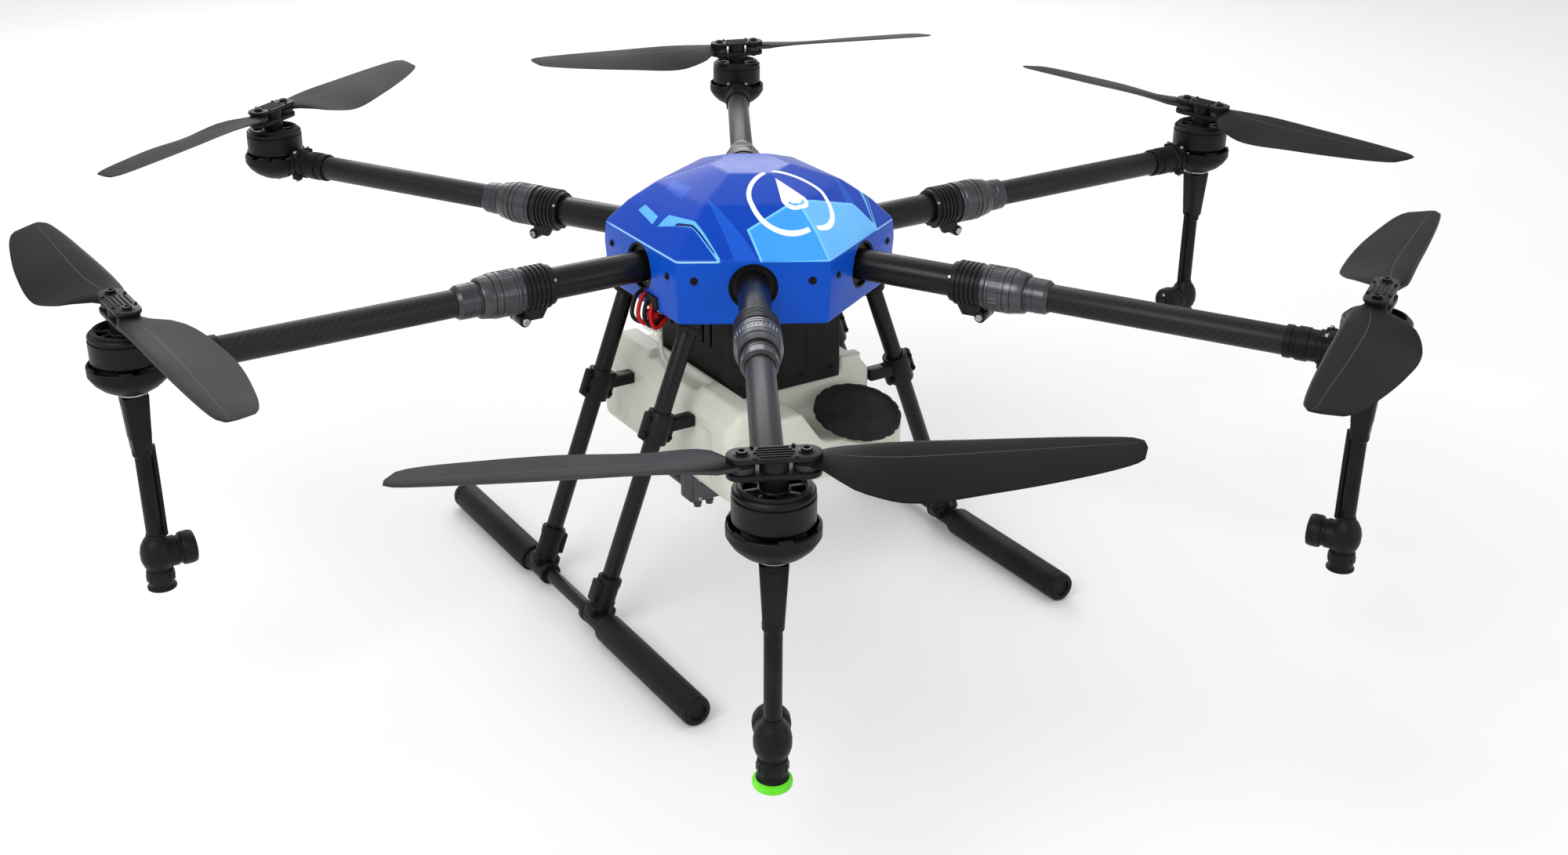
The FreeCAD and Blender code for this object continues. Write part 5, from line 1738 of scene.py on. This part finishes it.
class SprayerSizes(bpy.types.PropertyGroup):
    """Sizes that a user would change."""

    cover_round: FloatProperty(
        name="Cover rounding", description="Rounding of the cover's edges", default=0.0035,
        min=0.0005, unit="LENGTH")
    mark_radius: FloatProperty(
        name="Mark", description="Radius of the ring on the cover", default=0.046, min=0.02,
        unit="LENGTH")
    tank_detail: FloatProperty(
        name="Tank detail", description="Size of the tank skin's faces", default=0.0024, min=0.001,
        unit="LENGTH")
    cap_grips: IntProperty(
        name="Cap grips", description="Finger grips round the filler cap", default=18, min=4
    )


class SprayerStudio(bpy.types.PropertyGroup):
    """Light of the stage."""

    key: FloatProperty(
        name="Key light", description="Power of the main lamp", default=60.0, min=0.0, unit="POWER"
    )
    surround: FloatProperty(
        name="Surround", description="Strength of the even light", default=0.8, min=0.0
    )


def operator(name, label, text, build):
    """An operator that makes one group of pieces, and stops with an error if it can't."""

    def execute(self, context):
        build()
        return {"FINISHED"}

    members = {
        "bl_idname": "sprayer." + name, "bl_label": label, "__doc__": text, "execute": execute
    }
    return type("SPRAYER_OT_" + name, (bpy.types.Operator,), members)


OPERATORS = [
    operator("cover", "Cover", "Makes the faceted cover and its screws.", make_cover),
    operator("hub", "Hub", "Finishes the hub and makes its electronics and leads.", make_hub),
    operator(
        "inner_arms", "Inner arms", "Makes the inner tubes and the fold sockets.", make_inner_arms
    ),
    operator("outer_arms", "Outer arms", "Makes the fold barrels and the booms.", make_outer_arms),
    operator("collars", "Collars", "Makes the lock rings.", make_collars),
    operator("motor_bases", "Motor bases", "Makes the motor bowls and stators.", make_motor_bases),
    operator("rotors", "Rotors", "Makes the motor bells and blade clamps.", make_rotors),
    operator("blades", "Blades", "Makes the folding blades.", make_blades),
    operator("lances", "Lances", "Makes the spray lances.", make_lances),
    operator("tank", "Tank", "Makes the tank and its clamps on the legs.", make_tank),
    operator("filler_cap", "Filler cap", "Makes the filler cap.", make_filler_cap),
    operator("battery", "Battery", "Makes the battery bay and the battery.", make_battery),
    operator("pump", "Pump", "Makes the spray pump.", make_pump),
    operator("landing_gear", "Landing gear", "Makes the legs and skids.", make_landing_gear),
    operator("stage", "Stage", "Makes the floor, lamps and camera.", make_stage),
]


class SPRAYER_PT_pieces(bpy.types.Panel):
    """Lists the sprayer's pieces."""

    bl_label = "Crop sprayer"
    bl_space_type = "VIEW_3D"
    bl_region_type = "UI"
    bl_category = "Sprayer"

    def draw(self, context):
        for made in OPERATORS:
            self.layout.operator(made.bl_idname)
        scene = context.scene
        for group in (scene.sprayer_sizes, scene.sprayer_colours, scene.sprayer_studio):
            for key in group.__annotations__:
                self.layout.prop(group, key)


CLASSES = [SprayerColours, SprayerSizes, SprayerStudio, *OPERATORS, SPRAYER_PT_pieces]


def register():
    for made in CLASSES:
        bpy.utils.register_class(made)
    bpy.types.Scene.sprayer_colours = PointerProperty(type=SprayerColours)
    bpy.types.Scene.sprayer_sizes = PointerProperty(type=SprayerSizes)
    bpy.types.Scene.sprayer_studio = PointerProperty(type=SprayerStudio)


def unregister():
    del bpy.types.Scene.sprayer_studio
    del bpy.types.Scene.sprayer_sizes
    del bpy.types.Scene.sprayer_colours
    for made in reversed(CLASSES):
        bpy.utils.unregister_class(made)


def main():
    register()
    for made in OPERATORS:
        getattr(bpy.ops.sprayer, made.bl_idname.split(".")[1])()


if __name__ == "__main__":
    main()
